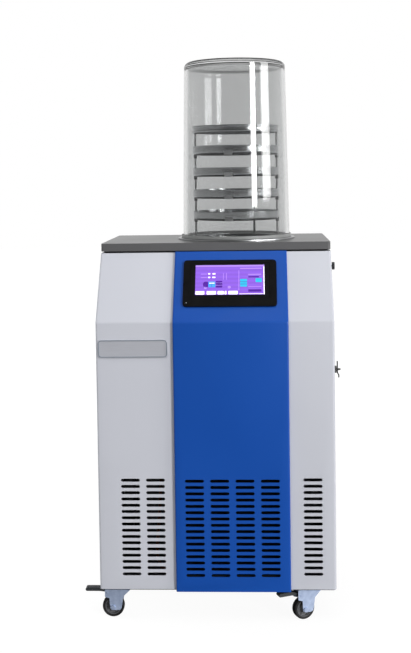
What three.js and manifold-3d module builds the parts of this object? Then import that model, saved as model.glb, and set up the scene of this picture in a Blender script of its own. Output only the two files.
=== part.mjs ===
// Laboratory freeze dryer: a folded-sheet cabinet on four casters, with a cold trap under a clear
// bell jar and a rack of round trays. Millimetres, +Z up, front towards -Y, right towards +X.
// Inside this file y = 0 is the front plane of the grey casing; the whole machine is moved back by
// half its depth at the end, so that the origin lies on the floor under the cabinet's middle.
import * as THREE from 'three';
import { mergeGeometries, mergeVertices } from 'three/addons/utils/BufferGeometryUtils.js';
import Module from 'manifold-3d';

const wasm = await Module();
wasm.setup();

// ---------------------------------------------------------------- driving dimensions

const GAP = 0.3; // between pieces that touch
const RUNNING = 0.4; // between a pin and the part that turns on it

// Facets round a full turn, by the size of what is turned.
const FACETS = { jar: 24, pot: 20, dish: 20, shell: 12, wheel: 16, bar: 6, pin: 6, tube: 5, slotEnd: 2 };

const CABINET = {
  width: 610,
  depth: 490,
  bottom: 90,
  hem: 2.5, // how far the panels end above it, over the chassis tray's dark edge
  bend: 785.5, // height at which the front starts to lean back
  top: 954.5,
  setback: 120, // how far the leaning front goes back
  sheet: 1.5,
  foldRadius: 12,
  cornerRadius: 6,
  frontReturn: 20, // how far the front panels wrap round the sides
  flange: 15,
  backSheet: 1.2,
};
const CHASSIS = { sheet: 2, flange: 38, clear: 2 };
const CENTER = { left: -106.5, right: 188.5, bottom: 89.5, top: 957, proud: 10, foldRadius: 4, lap: 15 };
const SLOT = {
  length: 48.5, height: 8, rows: 16, pitch: 16.35, lowest: 132.5, columnPitch: 64.6, edge: 50.4,
};
const COVER = { gap: 4.5, height: 21, sheet: 2, inset: 0.5, cornerRadius: 7, mouthClear: 2 };
const SUBFRAME = { inset: 8, width: 14 };
const SCREEN = {
  width: 242, height: 137, above: 43.7, radius: 9, thick: 6, side: 28,
  glassWidth: 206, glassHeight: 102, glassLeft: 18, glassBottom: 26.3, glassThick: 3, glassSunk: 2,
  moduleWidth: 190, moduleHeight: 92, moduleDepth: 32, moduleClear: 0.5, cutoutClear: 2,
};
const BADGE = {
  leftMargin: 6, rightMargin: 14, height: 46, above: 695.5, radius: 9, thick: 1.2, rim: 2.4, border: 2.5,
};

const CHAMBER = { x: 52.4, rear: 179 }; // the axis of trap, jar and rack, from the cabinet's back
const JAR = { footRadius: 150, draft: 8.7, height: 485.6, wall: 10, roof: 14, shoulder: 15 };
const SEAL = { inside: 3, thick: 2.5, lip: 3, lipHeight: 6 };
const TRAP = {
  mouthLap: 22, wall: 2, depth: 240, flangeLap: 14, flangeThick: 4, corner: 18, drain: 5, edge: 1.2,
  lip: 1.5,
};
const FOAM = { thick: 38, floor: 30, coilRoom: 16, coilHead: 6 };
const COIL = { tube: 4.5, turns: 3, pitch: 32, steps: 12, start: 30, angle: 200, tail: 20 };
const RACK = {
  jarClear: 13.5, postRadius: 3.5, postAngles: [20, 66, 160], ringLap: 8.5, ringWidth: 37, ringThick: 3,
};
const SHELF = {
  count: 4, first: 49.2, pitch: 60.3, width: 10, inset: 7.5, thick: 3, armWidth: 8,
  collar: 5.6, collarHeight: 11,
};
const DISH = {
  postClear: 1.5, draft: 4, height: 23.8, sheet: 1.2, bead: 1.2, beadHeight: 2.4,
  tabWidth: 22, tabHeight: 12, tabDrop: 4, tabAngle: -98,
};
const LID = {
  height: 18.7, above: 58.4, sheet: 1.6, bead: 5.6, beadDepth: 3, ear: 5.4, socket: 6,
};

const CASTER = {
  inset: 57, insetDepth: 54, trail: 30, plate: 60, plateThick: 3, race: 22, raceHeight: 5,
  wheelRadius: 28.75, treadWidth: 20, treadRound: 3, hubProud: 2, hubRadius: 12, hubClear: 0.8,
  axle: 4, nut: 6.5, legThick: 2.5, legWidth: 15, crown: 24, crownThick: 3, kingpin: 5, kingpinHead: 8,
  boltHole: 3.2, boltSpacing: 44,
};
const PEDAL = {
  reach: 103, root: 47, inside: 3, shoe: 42, thick: 9, level: 73.5, hub: 5, pin: 2.5, pivotX: 44, pivotZ: 66,
};

const CONDENSER = {
  width: 300, height: 300, depth: 40, front: 22, pitch: 27, fin: 1.6, spine: 3,
  stub: 6, stubLength: 12, stubEdge: 30,
};
const SHROUD = {
  depth: 34, sheet: 1.5, hole: 120, ringWall: 4, ringStart: 6, ringDepth: 16, arm: 12, armThick: 4,
  armBehind: 12, fanInset: 14,
};
const FAN = {
  tipClear: 8, hub: 30, hubDepth: 24, blades: 5, chord: 50, bladeThick: 2, rootLap: 6, rootShare: 0.66,
  pitch: 28,
};
const MOTOR = { radius: 41, depth: 62, shaft: 4, fromHub: 2 };
const COMPRESSOR = {
  fromLeft: 140, fromBack: 160, radius: 85, height: 250, foot: 14, footRadius: 11, base: 200, baseThick: 3,
  seamShare: 0.55, seamWidth: 8, seamProud: 4, stub: 6, stubLength: 12,
};
const DISCHARGE = { angle: -60, height: 60 }; // where each pipe leaves the compressor's shell
const SUCTION = { angle: -20, height: 190 };
const DRIER = {
  fromLeft: 155, fromBack: 330, radius: 19, height: 110, above: 560, neck: 5, neckLength: 14, cone: 12,
};
const CONTROL_BOX = { width: 100, depth: 240, height: 270, above: 590, fromBack: 70, lip: 3 };
const PIPE = { radius: 4.5, sides: 6, straight: 15 };

const PORT = {
  height: 905, bore: 12, wall: 2, flange: 20, flangeThick: 4, collar: 23, collarThick: 3, proud: 22,
};
const DRAIN = {
  height: 604, radius: 6, body: 11, spout: 7, spoutBore: 4.5, spoutLength: 26, spoutOut: 12, fall: 22,
  stem: 3,
};
const DRAIN_LEVER = { length: 46, width: 10, thick: 3, hub: 7, step: 4, out: 33 };
const VENT = { height: 908, angle: -25, distance: 262, pipe: 4, nut: 9, nutThick: 5, stem: 3 };
const VENT_KNOB = { radius: 10.4, thick: 7, ribs: 12, rib: 1, out: 8 };

const INLET = { x: 190, height: 200, width: 84, plateHeight: 34, plateThick: 2.5, depth: 30 };
const SOCKET = { x: 190, height: 262, width: 50, plateHeight: 34, plateThick: 2.5, depth: 30, recess: 6 };
const MODULE_EDGE = 4; // how far a module's flange laps the edge of its cut-out
const ROCKER = { width: 14, height: 22, depth: 8, proud: 2.5, fromRight: 20, clear: 1.2 };
const REAR_SLOT = { length: 120, height: 9, rows: 6, pitch: 26, lowest: 190, columns: [-165, 0] };

// ---------------------------------------------------------------- derived places

const halfWidth = CABINET.width / 2;
const lean = Math.atan2(CABINET.setback, CABINET.top - CABINET.bend); // from the vertical
const chamberY = CABINET.depth - CHAMBER.rear;

// The chamber's rings, from the jar inwards.
const jarInner = JAR.footRadius - JAR.wall;
const sealInner = jarInner - SEAL.inside;
const trapInner = sealInner - TRAP.mouthLap;
const trapOuter = trapInner + TRAP.wall;
const flangeRadius = JAR.footRadius + TRAP.flangeLap;
const foamRadius = trapOuter + FOAM.thick;
const postCircle = jarInner - RACK.jarClear;
const dishRadius = postCircle - RACK.postRadius - DISH.postClear;

const coverBottom = CABINET.top + COVER.gap;
const coverTop = coverBottom + COVER.height;
const flangeTop = coverTop + GAP + TRAP.flangeThick;
const sealTop = flangeTop + GAP + SEAL.thick;
const jarBottom = sealTop + GAP;
const shelfLevel = (i) => jarBottom + SHELF.first + i * SHELF.pitch; // the floor of a tray
const lidBottom = shelfLevel(SHELF.count - 1) + LID.above;
const panelFoot = CABINET.bottom + CABINET.hem;
const trayFloor = CABINET.bottom + GAP; // underside of the chassis tray
const deck = trayFloor + CHASSIS.sheet; // its upper face
const backFace = CABINET.depth - CABINET.backSheet; // inner face of the back panel
const potBottom = flangeTop - TRAP.depth - TRAP.wall;
const foamTop = coverTop - COVER.sheet - GAP;
const condenserX = (CENTER.left + CENTER.right) / 2;
const fanZ = deck + GAP + CONDENSER.height / 2;

const degrees = THREE.MathUtils.degToRad;

// ---------------------------------------------------------------- shapes and solids

function polygon(points) {
  return new THREE.Shape(points.map(([x, y]) => new THREE.Vector2(x, y)));
}

// Points along an arc, angles in degrees, both ends included.
function arc(cx, cy, radius, from, to, steps) {
  return Array.from({ length: steps + 1 }, (_, i) => {
    const angle = degrees(from + ((to - from) * i) / steps);
    return [cx + radius * Math.cos(angle), cy + radius * Math.sin(angle)];
  });
}

function roundedRectangle(width, height, radius, steps = 3) {
  const x = width / 2 - radius;
  const y = height / 2 - radius;
  return [
    ...arc(x, -y, radius, -90, 0, steps), ...arc(x, y, radius, 0, 90, steps),
    ...arc(-x, y, radius, 90, 180, steps), ...arc(-x, -y, radius, 180, 270, steps),
  ];
}

function shifted(points, dx, dy) {
  return points.map(([x, y]) => [x + dx, y + dy]);
}

function circle(radius, sides, cx = 0, cy = 0) {
  return arc(cx, cy, radius, 0, 360, sides).slice(0, -1);
}

// The corner radius of a bore whose flats keep the clearance from a round piece inside it.
function around(radius, facets, clearance = GAP) {
  return (radius + clearance) / Math.cos(Math.PI / facets);
}

function stadium(length, height, steps = FACETS.slotEnd) {
  const x = (length - height) / 2;
  return [...arc(x, 0, height / 2, -90, 90, steps), ...arc(-x, 0, height / 2, 90, 270, steps)];
}

// An outline of (x, y) points pulled up from z0 to z1.
function prismZ(points, z0, z1, holes = []) {
  const shape = polygon(points);
  shape.holes = holes.map(polygon);
  return new THREE.ExtrudeGeometry(shape, { depth: z1 - z0, bevelEnabled: false }).translate(0, 0, z0);
}

// An outline of (x, z) points pulled back from y0 to y1.
function prismY(points, y0, y1, holes = []) {
  return prismZ(points, 0, y1 - y0, holes).rotateX(Math.PI / 2).translate(0, y1, 0);
}

// An outline of (y, z) points pulled right from x0 to x1.
function prismX(points, x0, x1, holes = []) {
  const turn = new THREE.Matrix4().makeBasis(
    new THREE.Vector3(0, 1, 0), new THREE.Vector3(0, 0, 1), new THREE.Vector3(1, 0, 0),
  );
  return prismZ(points, 0, x1 - x0, holes).applyMatrix4(turn).translate(x0, 0, 0);
}

function box(x0, x1, y0, y1, z0, z1) {
  return new THREE.BoxGeometry(x1 - x0, y1 - y0, z1 - z0)
    .translate((x0 + x1) / 2, (y0 + y1) / 2, (z0 + z1) / 2);
}

// A profile of (radius, z) points turned about the Z axis. One that stays off the axis closes on itself.
function revolve(profile, segments) {
  const onAxis = profile[0][0] === 0;
  const ring = onAxis ? [...profile] : [...profile, profile[0]];
  const area = THREE.ShapeUtils.area(ring.map(([r, z]) => new THREE.Vector2(r, z)));
  if (area < 0) ring.reverse();
  const points = ring.map(([r, z]) => new THREE.Vector2(r, z));
  return new THREE.LatheGeometry(points, segments).rotateX(Math.PI / 2);
}

// A round bar of the given sides along one axis, from a to b.
function barZ(radius, z0, z1, sides, x = 0, y = 0) {
  return prismZ(circle(radius, sides, x, y), z0, z1);
}

function barX(radius, x0, x1, sides, y = 0, z = 0) {
  return prismX(circle(radius, sides, y, z), x0, x1);
}

function barY(radius, y0, y1, sides, x = 0, z = 0) {
  return prismY(circle(radius, sides, x, z), y0, y1);
}

// A round pipe bent along the points.
function pipe(points, radius, steps, sides = PIPE.sides) {
  const path = new THREE.CatmullRomCurve3(points.map((p) => new THREE.Vector3(...p)), false, 'centripetal');
  return new THREE.ExtrudeGeometry(polygon(circle(radius, sides)), { steps, extrudePath: path });
}

function solid(geometry) {
  const bare = geometry.index ? geometry.toNonIndexed() : geometry.clone();
  const spare = Object.keys(bare.attributes).filter((name) => name !== 'position');
  spare.forEach((name) => bare.deleteAttribute(name));
  const merged = mergeVertices(bare, 1e-4);
  const corners = merged.index.array;
  const kept = [];
  for (let i = 0; i < corners.length; i += 3) {
    const [a, b, c] = [corners[i], corners[i + 1], corners[i + 2]];
    if (a !== b && b !== c && c !== a) kept.push(a, b, c);
  }
  return new wasm.Manifold(new wasm.Mesh({
    numProp: 3, vertProperties: merged.attributes.position.array, triVerts: new Uint32Array(kept),
  }));
}

function surface(body) {
  const mesh = body.getMesh();
  const geometry = new THREE.BufferGeometry();
  geometry.setAttribute('position', new THREE.BufferAttribute(new Float32Array(mesh.vertProperties), 3));
  geometry.setIndex(new THREE.BufferAttribute(new Uint32Array(mesh.triVerts), 1));
  return geometry;
}

function join(...geometries) {
  return surface(geometries.map(solid).reduce((all, next) => all.add(next)));
}

function cut(geometry, ...tools) {
  return surface(tools.map(solid).reduce((left, tool) => left.subtract(tool), solid(geometry)));
}

// ---------------------------------------------------------------- finishes and the piece list

const machine = new THREE.Group();
machine.position.y = -CABINET.depth / 2;

const finishes = {
  greyPaint: { color: 0xc6c8d0, roughness: 0.45, metalness: 0 },
  bluePaint: { color: 0x1d51a8, roughness: 0.35, metalness: 0 },
  coverPaint: { color: 0x8c8c8c, roughness: 0.45, metalness: 0.1 },
  blackPlastic: { color: 0x141414, roughness: 0.35, metalness: 0 },
  darkPlastic: { color: 0x2b2d30, roughness: 0.55, metalness: 0 },
  screenGlass: { color: 0x7a55c4, roughness: 0.1, metalness: 0 },
  acrylic: { color: 0xf2f4f5, roughness: 0.05, metalness: 0, transparent: true, opacity: 0.3 },
  silicone: { color: 0xe8e8e4, roughness: 0.6, metalness: 0 },
  stainless: { color: 0xc9cacc, roughness: 0.25, metalness: 1 },
  zinc: { color: 0xb4bcc8, roughness: 0.35, metalness: 1 },
  aluminium: { color: 0xc4c6c8, roughness: 0.4, metalness: 1 },
  copper: { color: 0xb87346, roughness: 0.35, metalness: 1 },
  brass: { color: 0xb79a52, roughness: 0.35, metalness: 1 },
  blackEnamel: { color: 0x18191b, roughness: 0.4, metalness: 0.2 },
  foam: { color: 0x26282b, roughness: 0.95, metalness: 0 },
  rubber: { color: 0x1c1c1d, roughness: 0.8, metalness: 0 },
  galvanised: { color: 0xa9a59d, roughness: 0.5, metalness: 0.6 },
};

function add(name, geometry, finish, parent = machine) {
  const mesh = new THREE.Mesh(geometry, new THREE.MeshStandardMaterial(finishes[finish]));
  mesh.name = name;
  parent.add(mesh);
  return mesh;
}

// ---------------------------------------------------------------- folded front panels

// The side profile of the front, as (y, z) levels: upright, round the fold, then leaning back.
function frontLevels(bottom, top) {
  const radius = CABINET.foldRadius;
  const reach = radius * Math.tan(lean / 2);
  const fold = Array.from({ length: 4 }, (_, i) => {
    const turn = (lean * i) / 3;
    return { y: radius * (1 - Math.cos(turn)), z: CABINET.bend - reach + radius * Math.sin(turn) };
  });
  return [{ y: 0, z: bottom }, ...fold, leaningLevel(top)];
}

function leaningLevel(z) {
  return { y: (z - CABINET.bend) * Math.tan(lean), z };
}

// A horizontal section swept up through the levels of the front.
function foldedSheet(section, levels) {
  const steps = levels.length - 1;
  const upright = { depth: steps, steps, bevelEnabled: false };
  const geometry = new THREE.ExtrudeGeometry(polygon(section), upright);
  const position = geometry.attributes.position;
  for (let i = 0; i < position.count; i++) {
    const level = levels[Math.round(position.getZ(i))];
    position.setXYZ(i, position.getX(i), position.getY(i) + level.y, level.z);
  }
  return geometry;
}

// Rows of round-ended slots through an upright sheet, one column for each x.
function slotCutters(columns, y0, y1) {
  const cutters = columns.flatMap((x) => Array.from({ length: SLOT.rows }, (_, row) => {
    const z = SLOT.lowest + row * SLOT.pitch;
    return prismY(shifted(stadium(SLOT.length, SLOT.height), x, z), y0, y1);
  }));
  return mergeGeometries(cutters);
}

// A grey panel: flat front, round corner and a return along the side. side is -1 or 1.
function greyFrontPanel(side, innerEdge, columns) {
  const r = CABINET.cornerRadius;
  const t = CABINET.sheet;
  const x = halfWidth - r;
  const half = [
    [innerEdge, 0], ...arc(x, r, r, -90, 0, 4), [halfWidth, CABINET.frontReturn],
    [halfWidth - t, CABINET.frontReturn], ...arc(x, r, r - t, 0, -90, 4), [innerEdge, t],
  ];
  const section = half.map(([px, py]) => [side * px, py]);
  const sheet = foldedSheet(section, frontLevels(panelFoot, CABINET.top));
  return cut(sheet, slotCutters(columns, -1, t + 1));
}

// The blue panel: a shallow pan that stands proud of the grey, with lips at its foot and head.
function centerPanel() {
  const { left, right, proud, foldRadius: r } = CENTER;
  const t = CABINET.sheet;
  const foot = [
    [left, -GAP], ...arc(left + r, r - proud, r, 180, 270, 3), ...arc(right - r, r - proud, r, -90, 0, 3),
    [right, -GAP],
  ];
  const inside = [
    [right - t, -GAP], ...arc(right - r, r - proud, r - t, 0, -90, 3),
    ...arc(left + r, r - proud, r - t, 270, 180, 3), [left + t, -GAP],
  ];
  const levels = frontLevels(CENTER.bottom, CENTER.top);
  const topLip = foldedSheet(foot, [leaningLevel(CENTER.top - t), leaningLevel(CENTER.top)]);
  const footLip = prismZ(foot, CENTER.bottom, CENTER.bottom + t);
  const pan = join(foldedSheet([...foot, ...inside], levels), footLip, topLip);
  const middle = (left + right) / 2;
  const columns = [-1.5, -0.5, 0.5, 1.5].map((k) => middle + k * SLOT.columnPitch);
  const clear = 2 * SCREEN.cutoutClear;
  const window = screenPlaced(prismY(
    screenOutline(SCREEN.moduleWidth + clear, SCREEN.moduleHeight + clear, 3), -5, 12,
  ));
  return cut(pan, slotCutters(columns, -proud - 1, t - proud + 1), window);
}

// ---------------------------------------------------------------- control screen on the leaning face

// An outline centred on the glass, in the plane of the leaning face.
function screenOutline(width, height, radius) {
  const x = SCREEN.glassLeft + (SCREEN.glassWidth - SCREEN.width) / 2;
  const z = SCREEN.glassBottom + (SCREEN.glassHeight - SCREEN.height) / 2;
  return shifted(roundedRectangle(width, height, radius), x, z);
}

// Puts a piece made on y = 0 onto the leaning blue face, at the screen's middle.
function screenPlaced(geometry) {
  const x = CENTER.right - SCREEN.side - SCREEN.width / 2;
  const up = SCREEN.above + SCREEN.height / 2;
  return geometry.translate(0, 0, up).rotateX(-lean).translate(x, -CENTER.proud, CABINET.bend);
}

function screenBezel() {
  const { width, height, radius, thick, glassWidth, glassHeight, glassSunk } = SCREEN;
  const { moduleWidth, moduleHeight } = SCREEN;
  const clear = 2 * SCREEN.moduleClear;
  const plate = prismY(roundedRectangle(width, height, radius), -thick - GAP, -GAP);
  const rebate = prismY(screenOutline(glassWidth, glassHeight, 3), -thick - 1, -GAP - glassSunk);
  const window = prismY(screenOutline(moduleWidth + clear, moduleHeight + clear, 2), -thick, 1);
  return screenPlaced(cut(plate, rebate, window));
}

function touchDisplay() {
  const { glassWidth, glassHeight, glassThick, glassSunk } = SCREEN;
  const { moduleWidth, moduleHeight, moduleDepth } = SCREEN;
  const seat = -glassSunk - 2 * GAP;
  const pane = screenOutline(glassWidth - 2 * GAP, glassHeight - 2 * GAP, 3);
  const glass = prismY(pane, seat - glassThick, seat);
  const module = prismY(screenOutline(moduleWidth, moduleHeight, 2), seat - 0.5, moduleDepth);
  return screenPlaced(join(glass, module));
}

// ---------------------------------------------------------------- side, back, tray, cover

// The outline of a side panel, as (y, z) points, drawn in by the inset all round.
function sideOutline(inset) {
  const front = CABINET.frontReturn + GAP + inset;
  const rear = backFace - GAP - inset;
  const bottom = panelFoot + inset;
  const top = CABINET.top - inset;
  const levels = frontLevels(bottom, top);
  return [...levels.map(({ y, z }) => [y + front, z]), [rear, top], [rear, bottom]];
}

// A side panel: a flat sheet with its edges folded in, notched above the chassis tray's rim.
function sidePanel(side, holes = []) {
  const span = (near, far) => (side > 0 ? [near, far] : [-far, -near]);
  const inner = halfWidth - CABINET.flange;
  const face = halfWidth - CABINET.sheet;
  const outer = prismX(sideOutline(0), ...span(inner, halfWidth));
  const pocket = prismX(sideOutline(CABINET.sheet), ...span(inner - 1, face));
  const [n0, n1] = span(inner - 1, face);
  const notchTop = trayFloor + CHASSIS.flange + CHASSIS.clear;
  const notch = box(n0, n1, 0, CABINET.depth, CABINET.bottom - 1, notchTop);
  return cut(outer, pocket, notch, ...holes);
}

function backPanel() {
  const middle = (panelFoot + CABINET.top) / 2;
  const sheet = shifted(roundedRectangle(CABINET.width - 1, CABINET.top - panelFoot, 3, 2), 0, middle);
  const slots = REAR_SLOT.columns.flatMap((x) => Array.from({ length: REAR_SLOT.rows }, (_, row) => (
    shifted(stadium(REAR_SLOT.length, REAR_SLOT.height), x, REAR_SLOT.lowest + row * REAR_SLOT.pitch))));
  const port = circle(PORT.bore + PORT.wall + 1, FACETS.shell, CHAMBER.x, PORT.height);
  const cutouts = [INLET, SOCKET].map((module) => moduleOutline(module, MODULE_EDGE - 0.5));
  return prismY(sheet, backFace, CABINET.depth, [...slots, port, ...cutouts]);
}

// The chassis tray: a floor with its four edges folded up behind the panels.
function baseTray() {
  const t = CHASSIS.sheet;
  const x = halfWidth - CABINET.sheet - GAP;
  const front = CABINET.sheet + GAP;
  const rear = backFace - GAP;
  const rim = trayFloor + CHASSIS.flange;
  const outline = (inset) => shifted(
    roundedRectangle(2 * (x - inset), rear - front - 2 * inset, CABINET.cornerRadius, 2),
    0, (front + rear) / 2,
  );
  return cut(prismZ(outline(0), trayFloor, rim), prismZ(outline(t), deck, rim + 1));
}

function topCover() {
  const width = CABINET.width - 2 * COVER.inset;
  const depth = CABINET.depth - CABINET.setback;
  const outline = (inset) => shifted(
    roundedRectangle(width - 2 * inset, depth - 2 * inset, COVER.cornerRadius),
    0, CABINET.setback + depth / 2,
  );
  const block = prismZ(outline(0), coverBottom, coverTop);
  const hollow = prismZ(outline(COVER.sheet), coverBottom - 1, coverTop - COVER.sheet);
  const mouthRadius = around(trapOuter, FACETS.jar, COVER.mouthClear);
  const mouth = barZ(mouthRadius, coverBottom, coverTop + 1, FACETS.jar, CHAMBER.x, chamberY);
  return cut(block, hollow, mouth);
}

// The dark frame under the cover: it stands on the panels' folded edges and fills the shadow gap.
function coverSubframe() {
  const y0 = CABINET.setback + SUBFRAME.inset;
  const y1 = backFace - SUBFRAME.inset;
  const x = halfWidth - SUBFRAME.inset;
  const w = SUBFRAME.width;
  const ring = [[-x, y0], [x, y0], [x, y1], [-x, y1]];
  const inside = [[-x + w, y0 + w], [x - w, y0 + w], [x - w, y1 - w], [-x + w, y1 - w]];
  return prismZ(ring, CABINET.top + GAP, foamTop, [inside]);
}

// The blank badge: a thin plate with a raised rim on the left grey panel.
function badgePlate() {
  const left = -halfWidth + BADGE.leftMargin;
  const width = CENTER.left - BADGE.rightMargin - left;
  const place = (points) => shifted(points, left + width / 2, BADGE.above + BADGE.height / 2);
  const plate = prismY(place(roundedRectangle(width, BADGE.height, BADGE.radius)), -GAP - BADGE.rim, -GAP);
  const { border } = BADGE;
  const field = roundedRectangle(width - 2 * border, BADGE.height - 2 * border, BADGE.radius - border);
  return cut(plate, prismY(place(field), -GAP - BADGE.rim - 1, -GAP - BADGE.thick));
}

function buildCasing() {
  const visibleRight = (CENTER.right + halfWidth) / 2;
  const leftColumns = [CENTER.left - SLOT.edge, CENTER.left - SLOT.edge - SLOT.columnPitch];
  add('base_tray', baseTray(), 'blackEnamel');
  add('front_left_panel', greyFrontPanel(-1, -(CENTER.left + CENTER.lap), leftColumns), 'greyPaint');
  add('front_right_panel', greyFrontPanel(1, CENTER.right - CENTER.lap, [visibleRight]), 'greyPaint');
  add('front_center_panel', centerPanel(), 'bluePaint');
  add('left_side_panel', sidePanel(-1), 'greyPaint');
  const throughSide = (radius, y, z) => (
    barX(radius, halfWidth - CABINET.flange, halfWidth + 1, FACETS.shell, y, z));
  const drainHole = throughSide(DRAIN.body + 1, chamberY, DRAIN.height);
  const ventHole = throughSide(VENT.nut - 2, ventPlace().y, VENT.height);
  add('right_side_panel', sidePanel(1, [drainHole, ventHole]), 'greyPaint');
  add('back_panel', backPanel(), 'greyPaint');
  add('cover_subframe', coverSubframe(), 'foam');
  add('top_cover', topCover(), 'coverPaint');
  add('screen_bezel', screenBezel(), 'blackPlastic');
  add('touch_display', touchDisplay(), 'screenGlass');
  add('badge_plate', badgePlate(), 'stainless');
}

// ---------------------------------------------------------------- chamber: trap, jar, rack

// The stainless pot with the ring that carries it welded to its mouth.
function coldTrap() {
  const inner = trapInner;
  const outer = trapOuter;
  const floor = potBottom + TRAP.wall;
  const c = TRAP.corner;
  const ringBottom = coverTop + GAP;
  const profile = [
    [TRAP.drain, potBottom], [outer - c, potBottom], [outer, potBottom + c],
    [outer, ringBottom], [flangeRadius, ringBottom], [flangeRadius, flangeTop - TRAP.edge],
    [flangeRadius - TRAP.edge, flangeTop], [inner + TRAP.lip, flangeTop], [inner, flangeTop - TRAP.lip],
    [inner, floor + c], [inner - c, floor], [TRAP.drain, floor],
  ];
  const pot = revolve(profile, FACETS.jar).translate(CHAMBER.x, chamberY, 0);
  const [near, far] = [inner - 15, outer + 5];
  const port = barY(PORT.bore, chamberY + near, chamberY + far, FACETS.shell, CHAMBER.x, PORT.height);
  const vent = barX(VENT.pipe - 1, near, far, 8)
    .rotateZ(degrees(VENT.angle)).translate(CHAMBER.x, chamberY, VENT.height);
  return cut(pot, port, vent);
}

// Foam round the pot, wide enough lower down for the coil.
function trapInsulation() {
  const pot = trapOuter;
  const neck = around(pot, FACETS.pot);
  const bottom = potBottom - GAP - FOAM.floor;
  const coilTop = coilHeight(COIL.turns) + COIL.tube + FOAM.coilHead;
  const profile = [
    [DRAIN.radius + 2, bottom], [foamRadius, bottom], [foamRadius, foamTop],
    [neck, foamTop], [neck, coilTop], [pot + FOAM.coilRoom, coilTop],
    [pot + FOAM.coilRoom, potBottom - GAP], [DRAIN.radius + 2, potBottom - GAP],
  ];
  const cup = revolve(profile, FACETS.pot).translate(CHAMBER.x, chamberY, 0);
  const sleeve = PORT.bore + PORT.wall + 1;
  const port = barY(sleeve, chamberY, chamberY + foamRadius + 5, FACETS.shell, CHAMBER.x, PORT.height);
  const vent = barX(VENT.pipe + 1, pot, foamRadius + 5, 8)
    .rotateZ(degrees(VENT.angle)).translate(CHAMBER.x, chamberY, VENT.height);
  return cut(cup, port, vent, ...coilTails(COIL.tube + 2, PIPE.sides));
}

function coilHeight(turn) {
  return potBottom + COIL.start + turn * COIL.pitch;
}

// The straight ends of the coil, which run out through the foam.
function coilTails(radius, sides) {
  const { turns, steps } = COIL;
  return [0, turns].map((turn) => barX(radius, coilRadius(steps), foamRadius + COIL.tail, sides)
    .rotateZ(degrees(COIL.angle)).translate(CHAMBER.x, chamberY, coilHeight(turn)));
}

function coilRadius(steps) {
  return around(trapOuter + COIL.tube, steps, 2 * GAP);
}

// Copper tube wound on the pot.
function evaporatorCoil() {
  const { tube, turns, steps, angle } = COIL;
  const radius = coilRadius(steps);
  const points = Array.from({ length: turns * steps + 1 }, (_, i) => {
    const a = degrees(angle + (i * 360) / steps);
    return [CHAMBER.x + radius * Math.cos(a), chamberY + radius * Math.sin(a), coilHeight(i / steps)];
  });
  return join(pipe(points, tube, turns * steps, FACETS.tube), ...coilTails(tube, PIPE.sides));
}

function sealRing() {
  const { thick, lip, lipHeight } = SEAL;
  const rim = around(JAR.footRadius, FACETS.jar);
  const z = flangeTop + GAP;
  const profile = [
    [sealInner, z], [rim + lip, z], [rim + lip, z + thick + lipHeight], [rim, z + thick + lipHeight],
    [rim, z + thick], [sealInner, z + thick],
  ];
  return revolve(profile, FACETS.jar).translate(CHAMBER.x, chamberY, 0);
}

// The bell jar: a thick wall with a little draft, a round shoulder and a flat roof, open below.
function bellJar() {
  const top = jarBottom + JAR.height;
  const s = JAR.shoulder;
  const roof = top - JAR.roof;
  const topRadius = JAR.footRadius - JAR.draft;
  const innerTop = topRadius - JAR.wall;
  const innerShoulder = s - 6;
  const profile = [
    [jarInner, jarBottom], [JAR.footRadius, jarBottom],
    ...arc(topRadius - s, top - s, s, 0, 90, 3), [0, top],
  ];
  const inside = [
    [0, roof], ...arc(innerTop - innerShoulder, roof - innerShoulder, innerShoulder, 90, 0, 2),
    [jarInner, jarBottom],
  ];
  const outline = [[0, roof], ...inside.slice(1, -1), ...profile];
  return revolve(outline, FACETS.jar).translate(CHAMBER.x, chamberY, 0);
}

function aroundPosts(make) {
  return RACK.postAngles.map((angle) => {
    const a = degrees(angle);
    return make(postCircle * Math.cos(a), postCircle * Math.sin(a), angle);
  });
}

function flatRing(inner, outer, z0, z1, sides) {
  return revolve([[inner, z0], [outer, z0], [outer, z1], [inner, z1]], sides);
}

// The rack: a ring on the pot's flange with three upright posts welded to it.
function rackFrame() {
  const z = flangeTop + GAP;
  const ringOuter = postCircle + RACK.ringLap;
  const ring = flatRing(ringOuter - RACK.ringWidth, ringOuter, z, z + RACK.ringThick, FACETS.pot);
  const postTop = lidBottom + LID.socket - GAP;
  const posts = aroundPosts((x, y) => barZ(RACK.postRadius, z + 1, postTop, FACETS.bar, x, y));
  return join(ring, ...posts).translate(CHAMBER.x, chamberY, 0);
}

// One shelf: a flat ring with three arms and the collars that clamp it to the posts.
function shelfRing(level) {
  const top = level - GAP;
  const under = top - SHELF.thick;
  const outer = dishRadius - SHELF.inset;
  const ring = flatRing(outer - SHELF.width, outer, under, top, FACETS.dish);
  const half = SHELF.armWidth / 2;
  const armEnd = postCircle - RACK.postRadius;
  const arms = aroundPosts((x, y, angle) => (
    box(outer - 3, armEnd, -half, half, under, top).rotateZ(degrees(angle))));
  const collarFoot = top - SHELF.collarHeight;
  const collars = aroundPosts((x, y) => barZ(SHELF.collar, collarFoot, top, FACETS.bar, x, y));
  const bore = around(RACK.postRadius, FACETS.bar);
  const bores = aroundPosts((x, y) => barZ(bore, under - 20, top + 1, FACETS.bar, x, y));
  return cut(join(ring, ...arms, ...collars), ...bores).translate(CHAMBER.x, chamberY, 0);
}

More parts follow.
